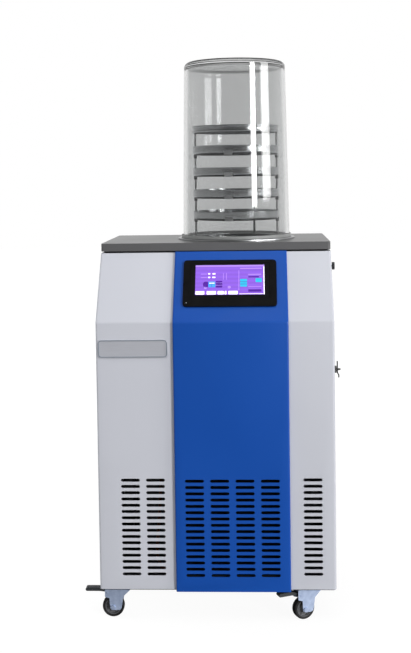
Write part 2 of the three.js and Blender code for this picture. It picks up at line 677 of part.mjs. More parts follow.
// A round tray: drawn pan with a beaded rim and a small grip tab at the front.
function dish(level) {
  const { height, sheet: t, bead, beadHeight, tabWidth, tabHeight, tabDrop } = DISH;
  const radius = dishRadius;
  const floorRadius = radius - DISH.draft;
  const rim = radius - bead;
  const profile = [
    [0, 0], [floorRadius, 0], [rim, height - beadHeight], [radius, height - beadHeight], [radius, height],
    [rim - t, height], [floorRadius - t, t], [0, t],
  ];
  const tab = box(floorRadius - t / 2, radius, -tabWidth / 2, tabWidth / 2, -tabDrop, tabHeight - tabDrop)
    .rotateZ(degrees(DISH.tabAngle));
  return join(revolve(profile, FACETS.dish), tab).translate(CHAMBER.x, chamberY, level);
}

// The plate that closes the rack: a shallow pan turned over, with two beads and three ears.
function rackTopPlate() {
  const { height, sheet: t, bead, beadDepth, ear } = LID;
  const radius = dishRadius;
  const waist = radius - beadDepth;
  const profile = [
    [0, height - t], [waist - t, height - t], [waist - t, 0], [radius, 0], [radius, bead],
    [waist, bead], [waist, height - bead], [radius, height - bead], [radius, height], [0, height],
  ];
  const earTop = height - 2;
  const ears = aroundPosts((x, y, angle) => join(
    box(waist - 1, postCircle, -ear, ear, 0, earTop).rotateZ(degrees(angle)),
    barZ(ear, 0, earTop, FACETS.bar, x, y),
  ));
  const socket = around(RACK.postRadius, FACETS.bar);
  const sockets = aroundPosts((x, y) => barZ(socket, -1, LID.socket, FACETS.bar, x, y));
  const plate = join(revolve(profile, FACETS.dish), ...ears);
  return cut(plate, ...sockets).translate(CHAMBER.x, chamberY, lidBottom);
}

function buildChamber() {
  add('cold_trap', coldTrap(), 'stainless');
  add('trap_insulation', trapInsulation(), 'foam');
  add('evaporator_coil', evaporatorCoil(), 'copper');
  add('seal_ring', sealRing(), 'silicone');
  add('bell_jar', bellJar(), 'acrylic');
  add('rack_frame', rackFrame(), 'stainless');
  for (let i = 0; i < SHELF.count; i++) {
    const level = shelfLevel(i);
    add(`shelf_ring_${i + 1}`, shelfRing(level), 'stainless');
    add(`tray_${i + 1}`, dish(level), 'stainless');
  }
  add('rack_top_plate', rackTopPlate(), 'stainless');
}

// ---------------------------------------------------------------- refrigeration

function compressorPlace() {
  return { x: -halfWidth + COMPRESSOR.fromLeft, y: CABINET.depth - COMPRESSOR.fromBack };
}

// A hermetic compressor: a drawn shell with a weld seam on a foot plate with rubber feet.
function compressor() {
  const { radius: r, height, foot, footRadius, base, baseThick, seamWidth, seamProud } = COMPRESSOR;
  const floor = deck + GAP + foot + baseThick;
  const top = floor + height;
  const seam = floor + height * COMPRESSOR.seamShare;
  const [low, high] = [seam - seamWidth / 2, seam + seamWidth / 2];
  const [footRound, headRound] = [30, 40];
  const profile = [
    [0, floor - 1], [r - footRound, floor - 1],
    ...arc(r - footRound, floor + footRound, footRound, -45, 0, 2),
    [r, low], [r + seamProud, low], [r + seamProud, high], [r, high],
    ...arc(r - headRound, top - headRound, headRound, 0, 60, 2), [r - 1.5 * headRound, top], [0, top],
  ];
  const shell = revolve(profile, FACETS.shell);
  const plate = prismZ(roundedRectangle(base, base - 20, 12), floor - baseThick, floor);
  const reach = base / 2 - 16;
  const feet = [[1, 1], [-1, 1], [-1, -1], [1, -1]].map(([sx, sy]) => (
    barZ(footRadius, deck + GAP, floor - 1, FACETS.bar, sx * reach, sy * (reach - 10))));
  const stubs = [DISCHARGE, SUCTION].map(({ angle, height: above }) => (
    barX(COMPRESSOR.stub, r - 5, r + COMPRESSOR.stubLength, FACETS.bar)
      .rotateZ(degrees(angle)).translate(0, 0, floor + above)));
  const terminals = box(-28, 28, -r - 14, -r + 12, floor + 90, floor + 150);
  const { x, y } = compressorPlace();
  return join(shell, plate, ...feet, ...stubs, terminals).translate(x, y, 0);
}

function condenserFins() {
  const count = Math.floor((CONDENSER.width - CONDENSER.fin) / CONDENSER.pitch) + 1;
  return { count, start: -((count - 1) * CONDENSER.pitch) / 2 };
}

// The finned condenser: a comb of fins on a middle spine, with its two tube ends at the left.
function condenser() {
  const { height, depth, pitch, fin, spine, stub, stubLength, stubEdge } = CONDENSER;
  const { count, start } = condenserFins();
  const teeth = (side) => Array.from({ length: count }, (_, i) => {
    const x = side * (start + i * pitch);
    const [near, far] = [x - (side * fin) / 2, x + (side * fin) / 2];
    const [root, tip] = [(side * spine) / 2, (side * depth) / 2];
    return [[near, root], [near, tip], [far, tip], [far, root]];
  }).flat();
  const comb = [...teeth(1).reverse(), ...teeth(-1).reverse()];
  const ends = [stubEdge, height - stubEdge].map((z) => (
    barX(stub, start - stubLength, start + 1, FACETS.bar, 0, z)));
  const y = CONDENSER.front + depth / 2;
  return join(prismZ(comb, 0, height), ...ends).translate(condenserX, y, deck + GAP);
}

function shroudFront() {
  return CONDENSER.front + CONDENSER.depth + GAP;
}

// The fan shroud: a pan behind the condenser with a round outlet and a four-armed motor ring.
function fanShroud() {
  const { sheet: t, depth, hole, ringStart, ringDepth, armThick, armBehind } = SHROUD;
  const front = shroudFront();
  const rear = front + depth;
  const square = (inset) => (
    roundedRectangle(CONDENSER.width - 2 * inset, CONDENSER.height - 2 * inset, 4, 2));
  const pan = prismY(square(0), front, rear);
  const hollow = prismY(square(t), front - 1, rear - t);
  const outlet = barY(hole, front, rear + 1, FACETS.pot);
  const ringInner = MOTOR.radius + GAP;
  const ringOuter = ringInner + SHROUD.ringWall;
  const ringBore = circle(ringInner, FACETS.shell);
  const ringRear = rear + ringStart;
  const ring = prismY(circle(ringOuter, FACETS.shell), ringRear, ringRear + ringDepth, [ringBore]);
  const half = SHROUD.arm / 2;
  const corners = [45, 135, 225, 315];
  const arms = corners.map((angle) => (
    box(ringOuter - 3, hole + 12, rear + armBehind - armThick, rear + armBehind, -half, half)
      .rotateY(degrees(angle))));
  const pads = corners.map((angle) => (
    box(hole + 4, hole + 14, rear - 1, rear + armBehind, -half, half).rotateY(degrees(angle))));
  return join(cut(pan, hollow, outlet), ring, ...arms, ...pads).translate(condenserX, 0, fanZ);
}

function fanMiddle() {
  return shroudFront() + SHROUD.depth - SHROUD.fanInset;
}

function fanMotor() {
  const { radius: r, depth } = MOTOR;
  const y = fanMiddle() + FAN.hubDepth / 2 + MOTOR.fromHub;
  const profile = [[0, 0], [r - 3, 0], [r, 3], [r, depth - 6], [r - 6, depth], [0, depth]];
  const can = revolve(profile, FACETS.shell).rotateX(-Math.PI / 2).translate(0, y, 0);
  const shaft = barY(MOTOR.shaft, y - FAN.hubDepth - 4, y + 5, FACETS.pin);
  return join(can, shaft).translate(condenserX, 0, fanZ);
}

// One blade: a flat paddle with a round tip, wider than its root, set at a pitch.
function fanBlade() {
  const tip = SHROUD.hole - FAN.tipClear;
  const spread = THREE.MathUtils.radToDeg(Math.asin(FAN.chord / 2 / tip));
  const root = (FAN.chord * FAN.rootShare) / 2;
  const base = FAN.hub - FAN.rootLap;
  const paddle = [[-root, base], [root, base], ...arc(0, 0, tip, 90 - spread, 90 + spread, 4)];
  return prismY(paddle, -FAN.bladeThick / 2, FAN.bladeThick / 2).rotateZ(degrees(FAN.pitch));
}

function fan() {
  const y = fanMiddle();
  const hub = barY(FAN.hub, -FAN.hubDepth / 2, FAN.hubDepth / 2, FACETS.shell);
  const blades = Array.from({ length: FAN.blades }, (_, i) => (
    fanBlade().rotateY((i * 2 * Math.PI) / FAN.blades)));
  const bore = barY(around(MOTOR.shaft, FACETS.pin, RUNNING), -FAN.hubDepth, FAN.hubDepth, FACETS.pin);
  return cut(join(hub, ...blades), bore).translate(condenserX, y, fanZ);
}

function drierPlace() {
  return { x: -halfWidth + DRIER.fromLeft, y: CABINET.depth - DRIER.fromBack };
}

function filterDrier() {
  const { radius: r, height, neck, neckLength, cone } = DRIER;
  const profile = [
    [0, -neckLength], [neck, -neckLength], [neck, 0], [r, cone], [r, height - cone], [neck, height],
    [neck, height + neckLength], [0, height + neckLength],
  ];
  const { x, y } = drierPlace();
  return revolve(profile, FACETS.shell).translate(x, y, DRIER.above);
}

// Two points straight out of the stub that leaves the compressor at this angle and height.
function compressorStub({ angle, height }) {
  const { x, y } = compressorPlace();
  const reach = COMPRESSOR.radius + COMPRESSOR.stubLength + GAP;
  const z = deck + GAP + COMPRESSOR.foot + COMPRESSOR.baseThick + height;
  const a = degrees(angle);
  const at = (extra) => [x + (reach + extra) * Math.cos(a), y + (reach + extra) * Math.sin(a), z];
  return [at(0), at(PIPE.straight)];
}

function condenserStub(height) {
  const x = condenserX + condenserFins().start - CONDENSER.stubLength - GAP;
  const y = CONDENSER.front + CONDENSER.depth / 2;
  const z = deck + GAP + height;
  return [[x, y, z], [x - PIPE.straight, y, z]];
}

function dischargePipe() {
  const [start, leave] = compressorStub(DISCHARGE);
  const [end, arrive] = condenserStub(CONDENSER.height - CONDENSER.stubEdge);
  const [mx, my, mz] = leave.map((value, i) => (value + arrive[i]) / 2);
  const turn = [arrive[0] - 14, arrive[1] + 16, arrive[2] - 12];
  return pipe([start, leave, [mx - 6, my, mz + 20], turn, arrive, end], PIPE.radius, 12);
}

function liquidPipe() {
  const [start, leave] = condenserStub(CONDENSER.stubEdge);
  const { x, y } = drierPlace();
  const foot = DRIER.above - DRIER.neckLength - GAP;
  return pipe([
    start, leave, [leave[0] - 22, leave[1] + 12, leave[2] + 20],
    [x - 6, (leave[1] + y) / 2, leave[2] + 160],
    [x, y, foot - 60], [x, y, foot - PIPE.straight], [x, y, foot],
  ], PIPE.radius, 14);
}

function suctionPipe() {
  const [start, leave] = compressorStub(SUCTION);
  const z = coilHeight(COIL.turns);
  const a = degrees(COIL.angle);
  const at = (reach, height) => [CHAMBER.x + reach * Math.cos(a), chamberY + reach * Math.sin(a), height];
  const out = foamRadius + COIL.tail + GAP;
  const bottom = potBottom - FOAM.floor;
  return pipe([
    start, leave, [leave[0] + 26, leave[1] + 4, leave[2] + 40], at(out + 22, bottom - 60),
    at(out + 26, bottom + 20), at(out + 26, z - 24), at(out + 14, z), at(out, z),
  ], PIPE.radius, 14);
}

function buildRefrigeration() {
  add('compressor', compressor(), 'blackEnamel');
  add('condenser', condenser(), 'aluminium');
  add('fan_shroud', fanShroud(), 'galvanised');
  add('fan_motor', fanMotor(), 'blackEnamel');
  add('fan_blade', fan(), 'aluminium');
  add('filter_drier', filterDrier(), 'copper');
  add('discharge_pipe', dischargePipe(), 'copper');
  add('liquid_pipe', liquidPipe(), 'copper');
  add('suction_pipe', suctionPipe(), 'copper');
}

// ---------------------------------------------------------------- electrical pieces

// The control box on the left wall, with a shallow lid.
function controlBox() {
  const { width, depth, height, above, fromBack, lip } = CONTROL_BOX;
  const x0 = -halfWidth + CABINET.sheet + GAP;
  const y1 = CABINET.depth - fromBack;
  const body = box(x0, x0 + width - lip, y1 - depth, y1, above, above + height);
  const lid = box(x0 + width - lip - 1, x0 + width, y1 - depth + 6, y1 - 6, above + 6, above + height - 6);
  const glands = [0.3, 0.5, 0.7].map((share) => (
    barZ(8, above - 12, above + 1, 8, x0 + width / 2, y1 - depth * share)));
  return join(body, lid, ...glands);
}

// The outline of a module in the back panel, drawn in from its flange by the edge all round.
function moduleOutline({ x, height, width, plateHeight }, edge) {
  const radius = edge > 0 ? 2 : 3;
  return shifted(roundedRectangle(width - 2 * edge, plateHeight - 2 * edge, radius, 2), x, height);
}

// A module that clips into the back panel: a flange outside and a body through the cut-out.
function backModule(module) {
  const outer = CABINET.depth + GAP;
  const flange = prismY(moduleOutline(module, 0), outer, outer + module.plateThick);
  const body = prismY(moduleOutline(module, MODULE_EDGE), CABINET.depth - module.depth, outer + 1);
  return join(flange, body);
}

function rockerPlace() {
  return { x: INLET.x - INLET.width / 2 + ROCKER.fromRight, y: CABINET.depth + GAP + INLET.plateThick };
}

// The power inlet: a recess with three flat pins, beside the well of the rocker switch.
function powerInlet() {
  const face = CABINET.depth + GAP + INLET.plateThick;
  const x = INLET.x + 15;
  const recess = prismY(shifted(roundedRectangle(40, 22, 4, 2), x, INLET.height), face - 22, face + 1);
  const { x: rx } = rockerPlace();
  const wellX = ROCKER.width / 2 + 0.5;
  const wellZ = ROCKER.height / 2 + ROCKER.clear;
  const well = box(rx - wellX, rx + wellX, face - ROCKER.depth - 4, face + 1, INLET.height - wellZ,
    INLET.height + wellZ);
  const pins = [-12, 0, 12].map((dx) => box(x + dx - 1, x + dx + 1, face - 23, face - 6,
    INLET.height - (dx === 0 ? 0 : 4), INLET.height + (dx === 0 ? 8 : 4)));
  return join(cut(backModule(INLET), recess, well), ...pins);
}

// The rocker: two faces that meet in a shallow valley, on a rounded root.
function rocker() {
  const { width, height: h, depth, proud } = ROCKER;
  const { x, y } = rockerPlace();
  const outline = [
    [-depth, 3 - h / 2], [-depth, h / 2 - 3], [0, h / 2], [proud, h / 2], [proud - 1.2, 0], [proud, -h / 2],
    [0, -h / 2],
  ];
  return prismX(outline, x - width / 2, x + width / 2).translate(0, y, INLET.height);
}

// The pump's socket: a round-cornered face with three slots.
function pumpSocket() {
  const face = CABINET.depth + GAP + SOCKET.plateThick;
  const mouth = shifted(roundedRectangle(30, 20, 4, 2), SOCKET.x, SOCKET.height);
  const recess = prismY(mouth, face - SOCKET.recess, face + 1);
  const slots = [-9, 0, 9].map((dx) => box(SOCKET.x + dx - 1.3, SOCKET.x + dx + 1.3, face - 18, face + 1,
    SOCKET.height - 4.5, SOCKET.height + 4.5));
  return cut(backModule(SOCKET), recess, ...slots);
}

function buildElectrical() {
  add('control_box', controlBox(), 'galvanised');
  add('power_inlet', powerInlet(), 'blackPlastic');
  add('power_switch', rocker(), 'darkPlastic');
  add('pump_socket', pumpSocket(), 'blackPlastic');
}

// ---------------------------------------------------------------- vacuum, vent and drain

// The vacuum port: a tube from the pot to a small clamp flange behind the cabinet.
function vacuumPort() {
  const start = chamberY + trapOuter + GAP;
  const end = CABINET.depth + PORT.proud;
  const outer = PORT.bore + PORT.wall;
  const collar = CABINET.depth + GAP;
  const profile = [
    [PORT.bore, start], [outer, start], [outer, collar], [PORT.collar, collar],
    [PORT.collar, collar + PORT.collarThick], [outer, collar + PORT.collarThick],
    [outer, end - PORT.flangeThick - 3], [PORT.flange, end - PORT.flangeThick], [PORT.flange, end],
    [PORT.bore, end],
  ];
  return revolve(profile, FACETS.shell).rotateX(-Math.PI / 2).translate(CHAMBER.x, 0, PORT.height);
}

function drainEnd() {
  return halfWidth - CABINET.flange - 2;
}

// The hose from the pot's drain hole, down and across to the valve.
function drainPipe() {
  const top = potBottom - GAP;
  const end = drainEnd();
  const z = DRAIN.height;
  const run = z + DRAIN.fall;
  const route = [
    [CHAMBER.x, top], [CHAMBER.x, top - 40], [CHAMBER.x, run + 24], [CHAMBER.x + 8, run + 6],
    [CHAMBER.x + 30, run], [end - 60, z + 4], [end - 20, z], [end, z],
  ];
  return pipe(route.map(([x, height]) => [x, chamberY, height]), DRAIN.radius, 14);
}

// The drain valve: a hexagon body at the side panel, a spout turned down and a stem for the lever.
function drainValveBody() {
  const out = halfWidth + DRAIN_LEVER.out;
  const { body: r, height: z } = DRAIN;
  const bar = (radius, from, to, sides) => barX(radius, from, to, sides, chamberY, z);
  const neck = bar(DRAIN.radius + 1, drainEnd() + GAP, halfWidth + 3, FACETS.bar);
  const washer = bar(r + 4, halfWidth + GAP, halfWidth + GAP + 2, FACETS.shell);
  const hexagon = bar(r, halfWidth + 2, out - 7, 6);
  const stem = bar(DRAIN.stem, out - 8, out + DRAIN_LEVER.thick + 1.5, FACETS.pin);
  const mouth = z - r - DRAIN.spoutLength;
  const spoutX = halfWidth + DRAIN.spoutOut;
  const spout = barZ(DRAIN.spout, mouth, z, FACETS.shell, spoutX, chamberY);
  const bore = barZ(DRAIN.spoutBore, mouth - 1, z - r, FACETS.shell, spoutX, chamberY);
  return cut(join(neck, washer, hexagon, spout, stem), bore);
}

// The lever: a flat paddle with a step, hanging down when the valve is shut.
function drainLever() {
  const { length, width, thick, hub, step, out } = DRAIN_LEVER;
  const x = halfWidth + out - 6;
  const half = width / 2;
  const root = prismX(circle(hub, FACETS.shell), 0, thick);
  const arm = prismY([
    [0, hub - 2], [thick, hub - 2], [thick, -length * 0.2], [thick + step, -length * 0.34],
    [thick + step, -length * 0.5], [step, -length * 0.5], [step, -length * 0.36], [0, -length * 0.22],
  ], -half, half);
  const heel = box(0, thick, -half, half, 0, length / 2);
  const bore = barX(around(DRAIN.stem, FACETS.pin, RUNNING), -1, thick + 1, FACETS.pin);
  return cut(join(root, arm, heel), bore).translate(x, chamberY, DRAIN.height);
}

function ventPlace() {
  const a = degrees(VENT.angle);
  return { x: CHAMBER.x + VENT.distance * Math.cos(a), y: chamberY + VENT.distance * Math.sin(a) };
}

// The vent valve: a pipe from the pot, then a body through the side panel with its nut outside.
function ventValveBody() {
  const { x, y } = ventPlace();
  const z = VENT.height;
  const start = trapOuter + GAP;
  const inletPipe = barX(VENT.pipe, start, VENT.distance, FACETS.bar)
    .rotateZ(degrees(VENT.angle)).translate(CHAMBER.x, chamberY, z);
  const body = barX(VENT.nut - 3, x - 6, halfWidth + 2, FACETS.bar, y, z);
  const nut = barX(VENT.nut, halfWidth + GAP, halfWidth + GAP + VENT.nutThick, 6, y, z);
  const stemEnd = halfWidth + VENT_KNOB.out + VENT_KNOB.thick - 2;
  const stem = barX(VENT.stem, halfWidth + 3, stemEnd, FACETS.pin, y, z);
  return join(inletPipe, body, nut, stem);
}

function ventKnob() {
  const { radius: r, thick, ribs, rib, out } = VENT_KNOB;
  const { y } = ventPlace();
  const grip = Array.from({ length: 2 * ribs }, (_, i) => {
    const reach = i % 2 ? r : r - rib;
    const a = (i * Math.PI) / ribs;
    return [reach * Math.cos(a), reach * Math.sin(a)];
  });
  const x = halfWidth + out;
  const head = prismX(grip, x, x + thick);
  const bore = barX(around(VENT.stem, FACETS.pin, RUNNING), x - 1, x + thick - 1.6, FACETS.pin);
  return cut(head, bore).translate(0, y, VENT.height);
}

function buildPlumbing() {
  add('vacuum_port', vacuumPort(), 'stainless');
  add('drain_pipe', drainPipe(), 'silicone');
  add('drain_valve_body', drainValveBody(), 'brass');
  add('drain_valve_lever', drainLever(), 'darkPlastic');
  add('vent_valve_body', ventValveBody(), 'brass');
  add('vent_valve_knob', ventKnob(), 'darkPlastic');
}

// ---------------------------------------------------------------- casters
// Each caster is drawn about its kingpin, trailing towards -X, and then turned to its heading.

const forkTop = CABINET.bottom - CASTER.plateThick - CASTER.raceHeight - GAP;
const crownUnder = forkTop - CASTER.crownThick;
const hubHalf = CASTER.treadWidth / 2 + CASTER.hubProud;

// The mounting plate with the ball race and the kingpin riveted under it.
function casterPlate() {
  const top = CABINET.bottom;
  const under = top - CASTER.plateThick;
  const { boltHole, boltSpacing } = CASTER;
  const holes = [[1, 1], [-1, 1], [-1, -1], [1, -1]].map(([sx, sy]) => (
    circle(boltHole, 4, (sx * boltSpacing) / 2, (sy * boltSpacing) / 2)));
  const plate = prismZ(roundedRectangle(CASTER.plate, CASTER.plate, 6, 1), under, top, holes);
  const race = revolve([
    [0, under - CASTER.raceHeight], [CASTER.race - 3, under - CASTER.raceHeight], [CASTER.race, under + 1],
    [0, under + 1],
  ], FACETS.shell);
  const head = crownUnder - GAP;
  const kingpin = barZ(CASTER.kingpin, head - 1, under, FACETS.pin);
  const dome = CASTER.kingpinHead;
  const rivet = revolve([[0, head - 3], [dome - 2, head - 3], [dome, head], [0, head]], FACETS.pin);
  return join(plate, race, kingpin, rivet);
}

// The fork: a round crown with two legs that lean back to the axle, and on a braked one the
// pedal's pin behind it.
function casterFork(braked) {
  const { trail, wheelRadius: r, crown, legThick, legWidth } = CASTER;
  const inside = hubHalf + CASTER.hubClear;
  const outside = inside + legThick;
  const nose = crown - 9;
  const bore = circle(around(CASTER.kingpin, FACETS.pin, RUNNING), FACETS.pin);
  const disc = prismZ(circle(crown, FACETS.shell), crownUnder, forkTop, [bore]);
  const heel = braked
    ? [[-PEDAL.pivotX - 7, forkTop], [-PEDAL.pivotX - 7, PEDAL.pivotZ - 10]]
    : [[-trail + 4, forkTop], [-trail - 10, r + 28]];
  const foot = 8;
  const outline = [
    ...arc(-trail, r, foot, 180, 270, 3), ...arc(-trail + legWidth, r, foot, 270, 360, 3),
    [-trail + legWidth + 12, r + 28], [nose, forkTop - 8], [nose, forkTop], ...heel, [-trail - foot - 1, r + 23],
  ];
  const legs = [inside, -outside].map((y) => prismY(outline, y, y + legThick));
  const tail = braked ? -trail - 18 : -trail + 4;
  const span = [[tail, -outside], [nose, -outside], [nose, outside], [tail, outside]];
  const roof = prismZ(span, crownUnder, forkTop, [bore]);
  const across = (radius, reach, sides, x, z) => barY(radius, -reach, reach, sides, x, z);
  const axle = across(CASTER.axle, outside + 3, FACETS.pin, -trail, r);
  const nuts = [outside - 0.5, -outside - 3.5].map((y) => barY(CASTER.nut, y, y + 4, 6, -trail, r));
  const pin = braked ? [across(PEDAL.pin, outside + 1.5, FACETS.pin, -PEDAL.pivotX, PEDAL.pivotZ)] : [];
  return join(disc, roof, ...legs, axle, ...nuts, ...pin);
}

// The wheel: a round-shouldered tread on a dished hub with a through bore.
function casterWheel() {
  const r = CASTER.wheelRadius;
  const half = CASTER.treadWidth / 2;
  const tread = r / Math.cos(Math.PI / FACETS.wheel); // so that a flat of the tread stands on the floor
  const side = [
    [CASTER.axle + RUNNING, hubHalf], [CASTER.hubRadius, hubHalf], [CASTER.hubRadius, half - 3],
    [r - 6, half], [tread, half - CASTER.treadRound],
  ];
  const other = side.map(([radius, w]) => [radius, -w]).reverse();
  return revolve([...side, ...other], FACETS.wheel).rotateX(Math.PI / 2).rotateY(Math.PI / FACETS.wheel)
    .translate(-CASTER.trail, 0, r);
}

// The brake pedal: a pivoted arm over the wheel with a moulded shoe for the foot.
function brakePedal() {
  const { reach, root, shoe, thick, level, hub, pin, pivotX, pivotZ } = PEDAL;
  const half = hubHalf - PEDAL.inside;
  const shoeStart = reach - shoe;
  const [top, under] = [level + thick / 2, level - thick / 2];
  const round = 4;
  const outline = [
    ...arc(-reach + round, top - round, round, 90, 180, 2),
    ...arc(-reach + round, under + round, round, 180, 270, 2),
    [-shoeStart - 6, under], [-shoeStart, level - 5], [-root - 2, pivotZ + 1],
    [-root, pivotZ - 4.2], ...arc(-pivotX, pivotZ, hub, 235, 410, 5), [-shoeStart + 2, level + 2],
    [-shoeStart - 8, top],
  ];
  const arm = prismY(outline, -half, half);
  const bore = barY(around(pin, FACETS.pin, RUNNING), -half - 1, half + 1, FACETS.pin, -pivotX, pivotZ);
  return cut(arm, bore);
}

const casters = [
  { name: 'front_left', x: -1, y: CASTER.insetDepth, heading: 0, braked: true },
  { name: 'front_right', x: 1, y: CASTER.insetDepth, heading: 24, braked: true },
  { name: 'rear_left', x: -1, y: CABINET.depth - CASTER.insetDepth, heading: -72, braked: false },
  { name: 'rear_right', x: 1, y: CABINET.depth - CASTER.insetDepth, heading: -104, braked: false },
];

function buildCasters() {
  for (const { name, x, y, heading, braked } of casters) {
    const mount = new THREE.Group();
    mount.position.set(x * (halfWidth - CASTER.inset), y, 0);
    machine.add(mount);
    add(`caster_plate_${name}`, casterPlate(), 'zinc', mount);
    const swivel = new THREE.Group();
    swivel.rotation.z = degrees(heading);
    mount.add(swivel);
    add(`caster_fork_${name}`, casterFork(braked), 'zinc', swivel);
    add(`caster_wheel_${name}`, casterWheel(), 'rubber', swivel);
    if (braked) add(`brake_pedal_${name}`, brakePedal(), 'darkPlastic', swivel);
  }
}

buildCasing();
buildChamber();
buildRefrigeration();
buildElectrical();
buildPlumbing();
buildCasters();

const root = new THREE.Group();
root.add(machine);

export default root;
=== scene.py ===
"""Looks of a laboratory freeze dryer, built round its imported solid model.

Metres in the row frame: +Z up, front towards -Y, right towards +X. Sizes named in this file are
millimetres, and MM turns them into metres.
"""

import math

import bmesh
import bpy
from mathutils import Matrix, Vector


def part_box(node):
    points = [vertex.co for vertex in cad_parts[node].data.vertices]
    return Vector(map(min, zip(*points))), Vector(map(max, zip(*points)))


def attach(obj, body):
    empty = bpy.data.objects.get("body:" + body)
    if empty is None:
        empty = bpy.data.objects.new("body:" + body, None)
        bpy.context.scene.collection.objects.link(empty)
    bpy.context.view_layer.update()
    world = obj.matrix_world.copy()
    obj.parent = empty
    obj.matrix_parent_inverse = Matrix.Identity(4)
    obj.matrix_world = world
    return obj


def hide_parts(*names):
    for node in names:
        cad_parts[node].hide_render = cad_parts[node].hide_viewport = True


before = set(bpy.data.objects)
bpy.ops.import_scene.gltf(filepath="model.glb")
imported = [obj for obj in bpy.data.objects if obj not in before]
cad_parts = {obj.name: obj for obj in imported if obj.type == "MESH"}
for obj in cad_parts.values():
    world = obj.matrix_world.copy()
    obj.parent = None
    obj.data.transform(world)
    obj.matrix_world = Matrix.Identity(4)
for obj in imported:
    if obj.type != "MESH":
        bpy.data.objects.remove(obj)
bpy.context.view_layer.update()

# ------------------------ viewpoint
# A long lens at chest height, a little right of the machine's middle, turned slightly to the left
# and tipped slightly down. The frame is 411 wide and 653 high, cropped off the lens axis.

MM = 0.001
EYE = Vector((118.6, -2896.7, 1163.7)) * MM
YAW, PITCH, ROLL = 0.0408, 0.0498, -0.0135  # radians
FRAME_WIDTH, FRAME_HEIGHT = 411, 653
FOCAL_LENGTH = 1049.5  # in the same unit as the frame
LENS_AXIS = (217.0, 225.4)  # where the lens axis meets the frame, from its top left

ahead = Vector((-math.sin(YAW) * math.cos(PITCH), math.cos(YAW) * math.cos(PITCH), -math.sin(PITCH)))
level = Vector((math.cos(YAW), math.sin(YAW), 0))
upward = level.cross(ahead)
across = level * math.cos(ROLL) + upward * math.sin(ROLL)
above = upward * math.cos(ROLL) - level * math.sin(ROLL)

camera = bpy.data.objects.new("camera", bpy.data.cameras.new("camera"))
bpy.context.scene.collection.objects.link(camera)
camera.data.sensor_width = 36
camera.data.lens = camera.data.sensor_width * FOCAL_LENGTH / FRAME_HEIGHT
camera.data.shift_x = (FRAME_WIDTH / 2 - LENS_AXIS[0]) / FRAME_HEIGHT
camera.data.shift_y = (LENS_AXIS[1] - FRAME_HEIGHT / 2) / FRAME_HEIGHT
camera.matrix_world = Matrix.Translation(EYE) @ Matrix((across, above, -ahead)).transposed().to_4x4()
bpy.context.scene.camera = camera

# ------------------------ chassis tray
# The floor of the cabinet: a steel sheet with its four edges folded up, dipped in black enamel, whose black
# also stands in for the shade in the thin gap below the panels' lower edges: painted shade. It carries the
# compressor, the condenser and the casters.


def linear(code):
    """An sRGB hex colour as the linear colour that a socket takes."""
    parts = [int(code[i:i + 2], 16) / 255 for i in (0, 2, 4)]
    return (*[c / 12.92 if c <= 0.04045 else ((c + 0.055) / 1.055) ** 2.4 for c in parts], 1.0)


def put(tree, kind, inputs=None, **settings):
    """Adds one node with its settings. An input is a value, or the output that it is linked to."""
    made = tree.nodes.new(kind)
    for name, value in settings.items():
        setattr(made, name, value)
    for name, value in (inputs or {}).items():
        if isinstance(value, bpy.types.NodeSocket):
            tree.links.new(value, made.inputs[name])
        else:
            made.inputs[name].default_value = value
    return made


def blank(name):
    """A new material, its empty node tree, and the place on the object that its patterns follow."""
    material = bpy.data.materials.new(name)
    material.use_nodes = True
    tree = material.node_tree
    tree.nodes.clear()
    return material, tree, put(tree, "ShaderNodeTexCoord").outputs["Object"]


def two_tone(tree, pattern, low, high, roughness, relief=None, height=None, sockets=None, gloss=None):
    """Ends a tree: a pattern blends two tones, gloss drifts with it or by its own, and height stands out.

    Roughness is one value, or a low and a high one. Relief is a strength, and a depth in millimetres."""
    inputs = {"Roughness": roughness, **(sockets or {})}
    inputs["Base Color"] = put(tree, "ShaderNodeMixRGB", {
        "Fac": pattern, "Color1": linear(low), "Color2": linear(high)}).outputs["Color"]
    if isinstance(roughness, tuple):
        inputs["Roughness"] = put(tree, "ShaderNodeMapRange", {
            "Value": gloss or pattern, "To Min": roughness[0], "To Max": roughness[1]}).outputs["Result"]
    if relief:
        inputs["Normal"] = put(tree, "ShaderNodeBump", {
            "Height": height, "Strength": relief[0], "Distance": relief[1] * MM}).outputs["Normal"]
    shader = put(tree, "ShaderNodeBsdfPrincipled", inputs)
    put(tree, "ShaderNodeOutputMaterial", {"Surface": shader.outputs["BSDF"]})


def per(millimetres):
    """A texture scale whose pattern repeats about every so many millimetres."""
    return 1 / (millimetres * MM)


def clouded_finish(name, low, high, cloud, roughness, grain=None, relief=None, sockets=None):
    """A finish of two close tones that drift into each other, with a fine grain.

    Cloud and grain are the size in millimetres and the detail of a noise."""
    material, tree, place = blank(name)
    size, detail, *breakup = cloud
    drift = put(tree, "ShaderNodeTexNoise", {
        "Vector": place, "Scale": per(size), "Detail": detail, "Roughness": breakup[0] if breakup else 0.5})
    fine = None
    if grain:
        fine = put(tree, "ShaderNodeTexNoise", {
            "Vector": place, "Scale": per(grain[0]), "Detail": grain[1]}).outputs["Fac"]
    two_tone(tree, drift.outputs["Fac"], low, high, roughness, relief, fine, sockets)
    return material


SHALLOW = 34  # folds up to this many degrees are round ones in the real piece
